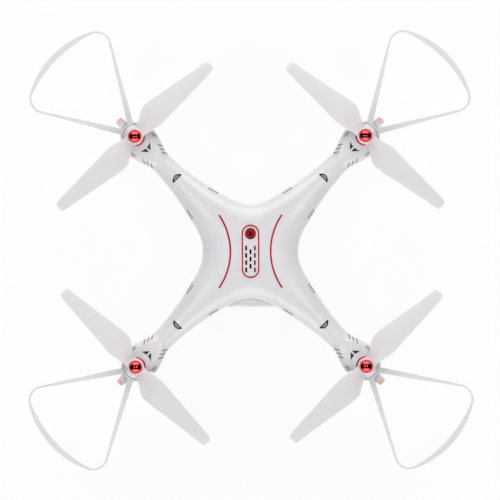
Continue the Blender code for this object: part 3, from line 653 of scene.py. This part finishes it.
def buildLowerShell():
    z = shellSizes
    piece = shellSkin("lowerShell", z["podRadius"], z["shaftHole"], lowerDepth, z["lowerFullness"], -1)
    addWall(piece)
    low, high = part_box("battery_bay")
    size = (high.x - low.x + 2 * gap, z["mouthLength"], high.z - low.z + 2 * gap)
    cutter = block(size, (0, -(z["waist"] + z["mouthLength"]) / 2, (low.z + high.z) / 2))
    cutter.data.materials.append(whiteGloss)
    combine(piece, cutter)
    finishShell(piece, "lowerShell", whiteUnder, "lower_shell")


# deck trim, button and the red bar that shows through the right-hand slots

deckSizes = inMm(
    ringHalf=9, ringLength=57.5, line=1.85, ringLine=1.5, sunk=0.25, proud=0.35, edge=0.22,
    arcRadius=70.8, arcX=22.2, arcReach=39.6, rayStart=10,
)


def deckDrop(x, y):  # how far the domed deck has fallen from its middle
    deck = bpy.data.objects["upperShell"]
    hit, place = deck.ray_cast((x, y, deckTop + deckSizes["rayStart"]), (0, 0, -1))[:2]
    return deckTop - place.z if hit else 0


def drape(piece):  # lowers a flat piece on to the domed deck
    for vert in piece.data.vertices:
        vert.co.z -= deckDrop(vert.co.x, vert.co.y)


def stadium(radius, run):
    return arc(radius, 0, 180, 40, (0, run)) + arc(radius, 180, 360, 40, (0, -run))


def trimLine(outlines, name, node):
    z = deckSizes
    line = flatPiece("line", outlines, deckTop - z["sunk"], deckTop + z["proud"])
    bevelEdges(line, z["edge"])
    drape(line)
    finishPiece(line, name, redLine, "airframe", "red_trim", node)


def buildDeckTrim():
    z = deckSizes
    half = z["line"] / 2
    run = z["ringLength"] / 2 - z["ringHalf"]
    ringEdges = [stadium(z["ringHalf"] + side * z["ringLine"] / 2, run) for side in (1, -1)]
    trimLine(ringEdges, "deckTrimRing", "deck_trim_ring")
    turn = math.degrees(math.asin(z["arcReach"] / z["arcRadius"]))
    for side, facing in (("left", 180), ("right", 0)):
        centre = polar(z["arcX"] + z["arcRadius"], facing)
        start = facing + 180 - turn
        end = facing + 180 + turn
        outer = arc(z["arcRadius"] + half, start, end, 60, centre)
        inner = arc(z["arcRadius"] - half, end, start, 60, centre)
        farEnd = arc(half, end, end + 180, 8, polar(z["arcRadius"], end, centre))[1:-1]
        nearEnd = arc(half, start + 180, start + 360, 8, polar(z["arcRadius"], start, centre))[1:-1]
        trimLine([outer + farEnd + inner + nearEnd], placeName("arcTrim", side), f"arc_trim_{side}")


buttonSizes = inMm(
    radius=5.9, dish=0.5, flangeThick=1.4, edge=0.4, markLength=5, markWidth=1.6, markBack=0.8,
    markDepth=2.4,
) | {
    "dishShare": 0.55, "dishRise": 0.9, "rimShare": 0.72, "rimFall": 0.6,
}


def buildButton():
    z = buttonSizes
    low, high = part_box("power_button")
    top = high.z
    r = z["radius"]
    flange = (high.x - low.x) / 2
    drop = deckDrop(0, ventSizes["buttonY"] + flange)
    ceiling = seamZ + shellSizes["deckRise"] - shellSizes["wall"] - gap - drop
    flangeLow = ceiling - z["flangeThick"]
    outline = rounded([
        (0, top - z["dish"]), (r * z["dishShare"], top - z["dishRise"] * z["dish"]), (r * z["rimShare"], top),
        (r, top - z["rimFall"] * z["dish"]), (r, ceiling), (flange, ceiling), (flange, flangeLow),
        (r / 2, flangeLow), (r / 2, low.z), (0, low.z),
    ], z["edge"])
    button = spunPiece("button", outline)
    button.location.y = ventSizes["buttonY"]
    settle(button)
    outline = capsule(z["markLength"], z["markWidth"], (0, ventSizes["buttonY"] - z["markBack"]), 90)
    mark = flatPiece("mark", [outline], top - z["markDepth"], top + mm)
    for piece in (button, mark):
        piece.data.materials.append(redButton)
        piece.data.materials.append(paintedShadeBlack)
    for face in mark.data.polygons:  # the sunk mark's faces are painted black as shade
        face.material_index = 1
    combine(button, mark)
    finishPiece(button, "powerButton", [redButton, paintedShadeBlack], "button", "red_trim", "power_button")


slotBackSizes = inMm(
    drop=3, y=-8.5, linerLength=40, linerWidth=15, linerThick=1, linerEdge=0.2, barLength=33,
    barWidth=2.6, barX=5.9, barEdge=0.3, barTopGap=1.0,
)


def buildSlotBack():
    z = slotBackSizes
    ceiling = deckTop - shellSizes["wall"]
    low = ceiling - z["drop"]
    # a dark red plate below the slots, painted shade for the hollow under them
    plate = capsule(z["linerLength"], z["linerWidth"], (0, z["y"]), 90, 20)
    shadePlate = flatPiece("shadePlate", [plate], low - z["linerThick"], low)
    bevelEdges(shadePlate, z["linerEdge"])
    finishPiece(shadePlate, "slotShadePlate", slotPaintedShadeRed, "airframe", "dark_plastic")
    strip = capsule(z["barLength"], z["barWidth"], (z["barX"], z["y"]), 90, 10)
    bar = flatPiece("bar", [strip], low + gap / 3, ceiling - z["barTopGap"])
    bevelEdges(bar, z["barEdge"])
    finishPiece(bar, "statusLightBar", lightRed, "airframe", "red_trim")


# rotors

rotorSizes = inMm(
    radius=115, thickness=1.5, bladeZ=156.5, hubRadius=9.4, hubHeight=9, bore=1.8, camberStart=12,
    camberEnd=36, thinStart=20, edge=0.28, hubSlope=2.2, hubFoot=0.6, hubEdge=0.5,
) | {
    "pitch": 16, "along": 130, "across": 14, "alongPower": 1.15, "camber": 0.06, "tipThinning": 0.45,
    "edgeAngle": 60, "hubTop": 0.62, "smoothAngle": 45,
    "restAngles": {"front_left": -1.1, "front_right": 1.7, "rear_left": -2.2, "rear_right": 0.4},
    "stations": (  # radius, then the width to each side, in mm
        (0, 7, 7), (12, 7, 8.2), (20, 8.7, 12.8), (27, 10.1, 16.5), (33, 10.6, 17.2), (41, 10.4, 16.4),
        (62, 9.5, 12.7), (84, 8.6, 9), (102, 7.8, 6.1), (110, 7.2, 4.9), (113.6, 6.2, 3.9), (115, 4.5, 2.2),
    ),
}


def bladeWidths(radius):
    stations = rotorSizes["stations"]
    r = radius / mm
    for k in range(len(stations) - 1):
        if r <= stations[k + 1][0] + 1e-6:
            break
    four = [stations[max(min(k + d, len(stations) - 1), 0)] for d in (-1, 0, 1, 2)]
    span = four[2][0] - four[1][0]
    t = (r - four[1][0]) / span
    widths = []
    for side in (1, 2):
        before = (four[2][side] - four[0][side]) / max(four[2][0] - four[0][0], 1e-6) * span
        after = (four[3][side] - four[1][side]) / max(four[3][0] - four[1][0], 1e-6) * span
        value = (2 * t**3 - 3 * t**2 + 1) * four[1][side] + (t**3 - 2 * t**2 + t) * before
        value += (3 * t**2 - 2 * t**3) * four[2][side] + (t**3 - t**2) * after
        widths.append(value * mm)
    return widths


def bladePair():
    z = rotorSizes
    piece = grid(z["along"], z["across"])
    for vert in piece.data.vertices:
        side = 1 if vert.co.x >= 0 else -1
        share = abs(vert.co.x)
        radius = z["radius"] * (1 - (1 - share) ** z["alongPower"])
        lead, trail = bladeWidths(radius)
        chord = (side * vert.co.y + 1) / 2
        y = -lead + (lead + trail) * chord
        pitch = math.tan(math.radians(z["pitch"])) * smoothStep(radius, 0, 3 * z["hubRadius"])
        arch = z["camber"] * (lead + trail) * 4 * chord * (1 - chord)
        camber = arch * smoothStep(radius, z["camberStart"], z["camberEnd"])
        vert.co = (side * radius, side * y, z["bladeZ"] - y * pitch + camber)
    sheet = piece.vertex_groups.new(name="sheet")
    for vert in piece.data.vertices:
        radius = math.hypot(vert.co.x, vert.co.y)
        thinning = z["tipThinning"] * smoothStep(radius, z["thinStart"], z["radius"])
        sheet.add([vert.index], 1.0 - thinning, "REPLACE")
    wall = addThickness(piece, z["thickness"], 0)
    wall.vertex_group = "sheet"
    applyAll(piece)
    piece.vertex_groups.clear()
    bevelEdges(piece, z["edge"], 2, z["edgeAngle"])
    return piece


def buildPropellers():
    z = rotorSizes
    low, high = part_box("propeller_front_left")
    hubLow = low.z
    hubHigh = hubLow + z["hubHeight"]
    r = z["hubRadius"]
    bore = z["bore"]
    hubOutline = rounded([
        (bore, hubHigh), (r * z["hubTop"], hubHigh), (r, hubHigh - z["hubSlope"]), (r, hubLow + z["hubFoot"]),
        (r - z["hubFoot"], hubLow), (bore, hubLow), (bore, hubHigh),
    ], z["hubEdge"])
    pair = bladePair()
    drill = [(0, hubHigh + mm), (bore, hubHigh + mm), (bore, hubLow - mm), (0, hubLow - mm)]
    combine(pair, spunPiece("bore", drill, 32))
    combine(pair, spunPiece("hub", hubOutline, 64), "UNION")
    mirrored = blank("mirrored", pair.data.copy())
    mirrored.data.transform(Matrix.Scale(-1, 4, (0, 1, 0)))
    mirrored.data.flip_normals()
    for place in corners:
        source = pair if place in ("front_left", "rear_right") else mirrored
        blade = blank("blade", source.data.copy())
        turn = Matrix.Rotation(math.radians(90 + z["restAngles"][place]), 4, "Z")
        blade.data.transform(podMatrix(place) @ turn)
        name = placeName("propellerBlades", place)
        node = f"propeller_{place}"
        finishPiece(blade, name, bladeWhite, f"rotor_{place}", "white_satin", node, angle=z["smoothAngle"])
    bpy.data.objects.remove(pair)
    bpy.data.objects.remove(mirrored)


nutSizes = inMm(
    rim=2.4, crown=3.8, shaftDepth=5.6, neckRise=0.8, lipRise=0.3, lipDrop=0.2, edge=0.25,
) | {
    "crownEdge": 30, "crownSteps": 20, "waist": 0.96, "shrink": 0.99, "lipShare": 0.90,
}


def buildNuts():
    z = nutSizes
    bore = rotorSizes["bore"]
    nodeLow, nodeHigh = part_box("spinner_nut_front_left")
    base = nodeLow.z
    top = nodeHigh.z
    radius = (nodeHigh.x - nodeLow.x) / 2 / z["shrink"]
    sideRadius = radius * z["waist"]
    rim = base + z["rim"]
    edge = math.radians(z["crownEdge"])
    dome = []
    for k in range(z["crownSteps"] + 1):  # a shallow crown over straight sides
        a = math.radians(90) + (edge - math.radians(90)) * k / z["crownSteps"]
        rise = (math.sin(a) - math.sin(edge)) / (1 - math.sin(edge))
        dome.append((sideRadius * math.cos(a) / math.cos(edge), top - z["crown"] * (1 - rise)))
    shaftTop = base + z["shaftDepth"]
    nutOutline = [(0, top)] + dome[1:] + rounded([
        dome[-1], (sideRadius, rim + z["neckRise"]), (radius * z["lipShare"], rim + z["lipRise"]),
        (radius, rim - z["lipDrop"]), (radius, base), (bore, base), (bore, shaftTop), (0, shaftTop),
    ], z["edge"])[1:]
    nut = spunPiece("nut", nutOutline, 72)
    atEachPod(nut, "spinnerNut", redMetal, "rotor_{}", "red_metal", "spinner_nut")


collarSizes = inMm(
    flange=1.2, neck=4, reach=10, chamfer=0.8, inwards=1.2, edge=0.2,
)


def buildCollars():
    z = collarSizes
    bore = rotorSizes["bore"]
    low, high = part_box("bearing_collar_front_left")
    reach = z["reach"]
    flangeLow = high.z - z["flange"]
    outline = rounded([
        (bore, high.z), (reach - z["chamfer"], high.z), (reach, high.z - z["chamfer"] / 2),
        (reach, flangeLow), (z["neck"], flangeLow), (z["neck"], low.z), (bore, low.z), (bore, high.z),
    ], z["edge"])
    collar = spunPiece("collar", outline, 72)
    for vert in collar.data.vertices:  # the flange reaches further on its inner side
        vert.co.x -= z["inwards"] * smoothStep(math.hypot(vert.co.x, vert.co.y), z["neck"], reach)
    atEachPod(collar, "bearingCollar", redCollar, "airframe", "red_metal", "bearing_collar")


# propeller guards and lamps

guardSizes = inMm(
    radius=128, arcWidth=6.3, cornerRadius=17, thin=2.2, bowCentre=27.6, rootWidth=6.6, clipInner=13.5,
    clipWall=2.6, edge=0.7, lipWidth=1.5, lipHeight=0.8, lipRoot=1, lipFit=0.1, lipEdge=0.3,
) | {
    "cornerTurn": 21.9, "rootTurn": 25, "clipTurn": 100, "lipTurn": 96,
    "restTurns": {"rear_left": -3, "rear_right": 3},
}


def guardOutlines():
    z = guardSizes
    clipOuter = z["clipInner"] + z["clipWall"]
    innerCorner = z["cornerRadius"] - z["thin"]
    bow = z["radius"] - z["bowCentre"]
    turn = math.radians(z["cornerTurn"])
    slack = (bow - z["cornerRadius"]) ** 2 - (z["bowCentre"] * math.sin(turn)) ** 2
    reach = z["bowCentre"] * math.cos(turn) + math.sqrt(slack)  # the corner then touches the bow
    end = Vector(polar(reach, z["cornerTurn"]))
    cornerEnd = math.degrees(math.atan2(end.y, end.x - z["bowCentre"]))
    root = Vector(polar(clipOuter, z["rootTurn"]))
    run = (end - root).normalized()
    heading = math.degrees(math.atan2(run.x, -run.y))
    rootTurn = math.degrees(z["rootWidth"] / 2 / clipOuter)
    outer = arc(clipOuter, z["clipTurn"], z["rootTurn"] + rootTurn, 30)
    outer += arc(z["cornerRadius"], heading, cornerEnd, 30, end)
    outer += arc(bow, cornerEnd, 0, 36, (z["bowCentre"], 0))[1:]
    outer += [(x, -y) for x, y in reversed(outer[:-1])]
    outer += arc(z["clipInner"], -z["clipTurn"], z["clipTurn"], 72)
    middle = z["radius"] - z["arcWidth"]
    innerEnd = Vector(polar(innerCorner, cornerEnd, end))
    bowRadius = (innerEnd.y**2 + (innerEnd.x - middle) ** 2) / (2 * (middle - innerEnd.x))
    bowTurn = math.degrees(math.asin(innerEnd.y / bowRadius))
    loop = arc(clipOuter, 0, z["rootTurn"] - rootTurn, 8)
    loop += arc(innerCorner, heading, cornerEnd, 30, end)
    loop += arc(bowRadius, bowTurn, 0, 36, (middle - bowRadius, 0))[1:]
    loop += [(x, -y) for x, y in reversed(loop[1:-1])]
    return [outer, loop]


def buildGuards():
    low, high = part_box("prop_guard_front_left")
    z = guardSizes
    guard = flatPiece("guard", guardOutlines(), low.z, high.z)
    bevelEdges(guard, z["edge"])
    lipOuter = arc(z["clipInner"] + z["lipWidth"], z["lipTurn"], -z["lipTurn"], 60)
    lipInner = arc(z["clipInner"] + z["lipFit"], -z["lipTurn"], z["lipTurn"], 60)
    lip = flatPiece("lip", [lipOuter + lipInner], high.z - z["lipRoot"], high.z + z["lipHeight"])
    bevelEdges(lip, z["lipEdge"], 2)
    combine(guard, lip, "UNION")
    atEachPod(guard, "propGuard", guardWhite, "airframe", "white_satin", "prop_guard", z["restTurns"])


lampSizes = inMm(
    reach=26.8, endHalf=4, bow=0.6, groovePitch=1.75, grooveWidth=0.6, grooveDepth=0.7, grooveLength=7,
    edge=0.5,
) | {
    "endSteps": 8, "baseTurn": 19, "grooves": 4,
}


def buildLamps():
    z = lampSizes
    low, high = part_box("lamp_lens_front_left")
    inner = shellSizes["podRadius"] + gap
    end = z["endHalf"]
    front = []
    for k in range(2 * z["endSteps"] + 1):  # a slightly bowed outer end
        y = end * (k / z["endSteps"] - 1)
        front.append((z["reach"] - z["bow"] * (y / end) ** 2, y))
    lens = flatPiece("lens", [arc(inner, z["baseTurn"], -z["baseTurn"], 24) + front], low.z, high.z)
    bevelEdges(lens, z["edge"], 3, 40)
    grooves = []
    for k in range(z["grooves"]):
        y = (k - (z["grooves"] - 1) / 2) * z["groovePitch"]
        grooves.append(capsule(z["grooveLength"], z["grooveWidth"], (z["reach"], y), 0))
    combine(lens, flatPiece("grooves", grooves, high.z - z["grooveDepth"], high.z + mm))
    atEachPod(lens, "lampLens", lampPink, "airframe", "lamp_pink", "lamp_lens")


# battery module end

batterySizes = inMm(
    edge=2.5, pullRise=6.5, pullEdge=1.6, grooveStart=4, groovePitch=1.5,
) | {
    "pull": (26 * mm, 5 * mm, 7 * mm), "grooves": 5, "groove": (20 * mm, 0.7 * mm, 0.8 * mm),
}


def buildBatteryCap():
    z = batterySizes
    low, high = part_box("battery_end_cap")
    cap = block(high - low, (low + high) / 2)
    bevelEdges(cap, z["edge"], 5)
    pull = block(z["pull"], (0, low.y, low.z + z["pullRise"]))
    bevelEdges(pull, z["pullEdge"], 4)
    combine(cap, pull)
    for k in range(z["grooves"]):  # finger grooves across the lower edge
        combine(cap, block(z["groove"], (0, low.y + z["grooveStart"] + k * z["groovePitch"], low.z)))
    # the cap's lighter white is painted light against the shade under the shell
    finishPiece(cap, "batteryEndCap", capWhitePaintedLight, "battery", "white_gloss", "battery_end_cap")


# camera

def turnForward(piece):  # the spun axis is turned from up to forward, then carried to the tilt axis
    low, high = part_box("camera_hinge_pin")
    axis = (low + high) / 2
    piece.data.transform(Matrix.Translation((0, axis.y, axis.z)) @ Matrix.Rotation(-math.pi / 2, 4, "X"))
    cleanUp(piece)


cameraSizes = inMm(
    bore=1.8, dish=0.8, seamHalf=0.5, seamDepth=0.6, edge=1.2, lensHole=7, lensBack=2, gripStart=2.6,
    gripEnd=3.8, gripDepth=0.6, glassRim=0.7, glassCrown=1.6, mouthDepth=1.6, mouthWiden=0.8,
    rimWidth=0.4, rimDepth=0.8, gripSlope=0.2, barrelEdge=0.3,
) | {
    "dishInner": 0.55, "dishOuter": 0.6,
}


def buildCamera():
    z = cameraSizes
    low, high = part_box("camera_hinge_pin")
    axis = (low + high) / 2
    low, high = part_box("camera_housing")
    half = (high.x - low.x) / 2
    radius = (high.z - low.z) / 2
    side = half - z["dish"]
    seam = radius - z["seamDepth"]
    right = [
        (z["bore"], side), (radius * z["dishInner"], side), (radius * z["dishOuter"], half), (radius, half),
        (radius, z["seamHalf"]), (seam, z["seamHalf"]),
    ]
    left = [(r, -x) for r, x in reversed(right)]
    drum = spunPiece("drum", rounded(right + left + right[:1], z["edge"]), 72)
    drum.data.transform(Matrix.Translation((0, axis.y, axis.z)) @ Matrix.Rotation(math.pi / 2, 4, "Y"))
    cleanUp(drum)
    slicePiece(drum, (0, high.y, 0), (0, 1, 0))
    finishPiece(drum, "cameraHousing", whiteUnder, "camera", "white_gloss", "camera_housing")

    low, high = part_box("camera_lens_barrel")
    back = low.y - axis.y
    front = high.y - axis.y
    outer = (high.x - low.x) / 2
    hole = z["lensHole"]
    floor = back + z["lensBack"]
    grip = outer - z["gripDepth"]
    start = front - z["gripStart"]
    end = front - z["gripEnd"]
    barrelOutline = rounded([
        (0, floor), (hole, floor), (hole, front - z["mouthDepth"]), (hole + z["mouthWiden"], front),
        (outer - z["rimWidth"], front), (outer, front - z["rimDepth"]), (outer, start),
        (grip, start - z["gripSlope"]), (grip, end + z["gripSlope"]), (outer, end), (outer, back), (0, back),
    ], z["barrelEdge"])
    barrel = spunPiece("barrel", barrelOutline, 72)
    turnForward(barrel)
    finishPiece(barrel, "cameraLensBarrel", lensRing, "camera", "dark_plastic", "camera_lens_barrel")
    low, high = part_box("camera_lens_glass")
    base = low.y - axis.y
    edge = (high.x - low.x) / 2
    crown = []
    for k in range(16):
        a = math.radians(6 * k)
        crown.append((edge * math.sin(a), base + z["glassRim"] + z["glassCrown"] * math.cos(a)))
    glass = spunPiece("glass", crown + [(edge, base), (0, base)], 64)
    turnForward(glass)
    finishPiece(glass, "cameraLensGlass", lensGlass, "camera", "lens_glass", "camera_lens_glass")


# screw heads under the pods and belly

screwSizes = inMm(
    radius=2.3, height=1.1, sunk=0.6, podV=10, bellyX=24, bellyY=7, crossLength=2.4, crossWidth=0.6,
    crossBottom=0.35, podSeat=0.2, bellySeat=0.15,
) | {
    "sideShare": 0.45, "domeShare": 0.55, "turnStep": 23,
}


def buildScrews():
    z = screwSizes
    dome = []
    for k in range(11):
        a = math.radians(9 * k)
        drop = z["height"] * (z["sideShare"] + z["domeShare"] * math.cos(a))
        dome.append((z["radius"] * math.sin(a), -drop))
    head = spunPiece("head", dome + [(z["radius"], z["sunk"]), (0, z["sunk"])], 40)
    for turn in (0, 90):
        bar = capsule(z["crossLength"], z["crossWidth"], (0, 0), turn)
        combine(head, flatPiece("bar", [bar], -2 * z["height"], -z["crossBottom"]))
    podZ = seamZ - gap - shellSizes["podDepth"] + z["podSeat"]
    bellyZ = seamZ - gap - shellSizes["bellyDepth"] + z["bellySeat"]
    pair = [(motorS, -z["podV"]), (motorS, z["podV"])]
    places = [(x, y, podZ) for turn in corners.values() for x, y in turnPoints(pair, turn)]
    places += [(sx * z["bellyX"], sy * z["bellyY"], bellyZ) for sx in (-1, 1) for sy in (-1, 1)]
    for number, place in enumerate(places, 1):
        screw = blank("screw", head.data.copy())
        turn = Matrix.Rotation(math.radians(z["turnStep"] * number), 4, "Z")
        screw.data.transform(Matrix.Translation(place) @ turn)
        finishPiece(screw, f"screwHead{number}", steelBright, "airframe", "steel")
    bpy.data.objects.remove(head)


# softened edges on the boxy inner pieces

softEdges = inMm(
    battery_case=1.2, battery_bay=0.4, camera_bracket=0.8, power_switch=0.4, main_board=0.3,
)


def softenInnerPieces():
    for nodeName, width in softEdges.items():
        addBevel(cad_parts[nodeName], width, segments=3, degrees=50)


# landing legs

legSizes = inMm(
    radius=3.8, skidX=50, skidHalf=62, flat=0.8, bend=14, seatS=75.6, padY=34, padLength=13, padWall=0.6,
    padFit=0.05, padEdge=0.4,
) | {
    "shinStart": 0.15,
}


def cutAtFloor(piece):
    slicePiece(piece, (0, 0, 0), (0, 0, -1))


def buildLegs():
    z = legSizes
    slope = (lowerDepth(z["seatS"] + mm) - lowerDepth(z["seatS"] - mm)) / (2 * mm)
    normal = Vector((-slope, 0, -1)).normalized()
    outward = Vector((diagonal * normal.x, diagonal * normal.x, normal.z))
    seat = Vector((z["seatS"] * diagonal, z["seatS"] * diagonal, seamZ - gap - lowerDepth(z["seatS"])))
    top = seat + outward * gap
    knee = Vector((z["skidX"], z["skidHalf"], z["radius"] - z["flat"]))
    bend = top + outward * z["bend"]
    down = (knee - bend).normalized()
    half = [
        (top, outward * z["bend"] / 3), (bend.lerp(knee, z["shinStart"]), down * z["bend"]),
        (knee - down * z["bend"], down * z["bend"] / 2),
        (knee - Vector((0, z["bend"], 0)), Vector((0, -z["bend"] / 2, 0))),
    ]
    route = half + [(Vector((p.x, -p.y, p.z)), Vector((-h.x, h.y, -h.z))) for p, h in reversed(half)]
    for name, side in (("left", -1), ("right", 1)):
        curve = bpy.data.curves.new("leg", "CURVE")
        curve.dimensions = "3D"
        curve.resolution_u = 16
        curve.bevel_depth = z["radius"]
        curve.bevel_resolution = 6
        curve.use_fill_caps = True
        spline = curve.splines.new("BEZIER")
        spline.bezier_points.add(len(route) - 1)
        flip = Vector((side, 1, 1))
        for point, (place, handle) in zip(spline.bezier_points, route):
            point.co = place * flip
            point.handle_left = (place - handle) * flip
            point.handle_right = (place + handle) * flip
        leg = meshFrom(curve)
        cleanUp(leg)
        cutAtFloor(leg)
        legName = placeName("landingLeg", name)
        finishPiece(leg, legName, whiteUnder, "airframe", "white_satin", f"landing_leg_{name}")
        for end, y in (("front", z["padY"]), ("rear", -z["padY"])):
            buildPad(placeName("skidPad", f"{end}_{name}"), side * z["skidX"], y)


def buildPad(name, x, y):  # a rubber sleeve on the skid
    z = legSizes
    half = z["padLength"] / 2
    inner = z["radius"] + z["padFit"]
    outer = z["radius"] + z["padWall"]
    profile = [(inner, half), (outer, half), (outer, -half), (inner, -half), (inner, half)]
    pad = spunPiece("pad", rounded(profile, z["padEdge"]), 48)
    place = Matrix.Translation((x, y, z["radius"] - z["flat"]))
    pad.data.transform(place @ Matrix.Rotation(math.pi / 2, 4, "X"))
    cutAtFloor(pad)
    finishPiece(pad, name, rubberGrey, "airframe", "dark_plastic")


# stage, light and camera

stageSizes = {
    "cameraHeight": 6.0, "roll": -0.2, "frameWidth": 0.5498, "offset": (-0.00055, 0.00143),
    "spinnerZ": 0.1655, "sensor": 36, "aim": (0, 0, 0.1), "floorSize": 30, "floorDrop": 0.2 * mm,
    "floorTone": 0.97, "floorRoughness": 0.9, "floorShare": 0.82, "stripTone": 0.012, "stripStart": 0.40,
    "stripEnd": 0.66,
    "boxes": (  # name, place, width, depth, power
        ("softFront", (0, 1.55, 1.3), 2.4, 1.2, 22), ("softRear", (0, -1.55, 1.3), 2.4, 1.2, 18),
        ("sparkLeft", (-0.46, 0, 1.6), 0.2, 0.2, 1.8), ("sparkRight", (0.46, 0, 1.6), 0.2, 0.2, 1.8),
    ),
}


def buildFloor():
    z = stageSizes
    deselect()
    bpy.ops.mesh.primitive_plane_add(size=z["floorSize"], location=(0, 0, -z["floorDrop"]))
    floor = bpy.context.view_layer.objects.active
    floor.name = "floor"
    settle(floor)
    white = bpy.data.materials.new("floorWhite")
    white.use_nodes = True
    tree = white.node_tree
    link = tree.links.new
    shader = tree.nodes["Principled BSDF"]
    tone = z["floorTone"]
    setInputs(shader, {"Base Color": (tone, tone, tone, 1), "Roughness": z["floorRoughness"]})
    glow = addNode(tree, "Emission")  # lifts the floor to white for the camera and keeps the shadow
    setInputs(glow, {"Strength": 1.0, "Color": (1, 1, 1, 1)})
    path = addNode(tree, "LightPath")
    share = addNode(tree, "Math", "MULTIPLY")
    setInputs(share, {1: z["floorShare"]})
    mix = addNode(tree, "MixShader")
    seen = path.outputs["Is Camera Ray"]
    for ray in ("Is Glossy Ray", "Is Transmission Ray"):  # metal and glass show the white floor too
        either = addNode(tree, "Math", "MAXIMUM")
        link(seen, either.inputs[0])
        link(path.outputs[ray], either.inputs[1])
        seen = either.outputs[0]
    link(seen, share.inputs[0])
    wire(share, 0, mix, 0)
    wire(shader, 0, mix, 1)
    wire(glow, 0, mix, 2)
    link(mix.outputs[0], tree.nodes["Material Output"].inputs["Surface"])
    floor.data.materials.append(white)


def buildLight():
    z = stageSizes
    world = bpy.data.worlds.new("studio")
    bpy.context.scene.world = world
    world.use_nodes = True
    tree = world.node_tree
    where = addNode(tree, "TexCoord")
    split = addNode(tree, "SeparateXYZ")
    size = addNode(tree, "Math", "ABSOLUTE")
    ramp = addNode(tree, "ValToRGB")  # a darker strip overhead between two soft boxes
    tone = z["stripTone"]
    dark, light = ramp.color_ramp.elements
    dark.position = z["stripStart"]
    dark.color = (tone, tone, tone, 1)
    light.position = z["stripEnd"]
    light.color = (1, 1, 1, 1)
    wire(where, "Generated", split, 0)
    wire(split, "Y", size, 0)
    wire(size, 0, ramp, 0)
    back = tree.nodes["Background"]
    wire(ramp, 0, back, "Color")
    setInputs(back, {"Strength": 1.0})
    for name, place, width, depth, power in z["boxes"]:
        lamp = bpy.data.lights.new(name, "AREA")
        lamp.shape = "RECTANGLE"
        lamp.size = width
        lamp.size_y = depth
        lamp.energy = power
        box = blank(name, lamp)
        box.location = place
        box.rotation_euler = (Vector(z["aim"]) - box.location).to_track_quat("-Z", "Y").to_euler()


def buildView():
    z = stageSizes
    view = bpy.data.cameras.new("view")
    view.sensor_width = z["sensor"]
    view.lens = z["sensor"] * z["cameraHeight"] / z["frameWidth"]
    camera = blank("view", view)
    camera.location = (*z["offset"], z["cameraHeight"] + z["spinnerZ"])
    camera.rotation_euler.z = math.radians(z["roll"])
    bpy.context.scene.camera = camera
    bpy.context.scene.view_settings.view_transform = "Standard"


stages = (
    buildFloor, buildLight, buildView, buildUpperShell, buildLowerShell, buildDeckTrim, buildButton,
    buildSlotBack, buildPropellers, buildNuts, buildCollars, buildGuards, buildLamps, buildBatteryCap,
    buildCamera, buildScrews, softenInnerPieces, buildLegs,
)
for build in stages:
    build()
    print(build.__name__, "done")
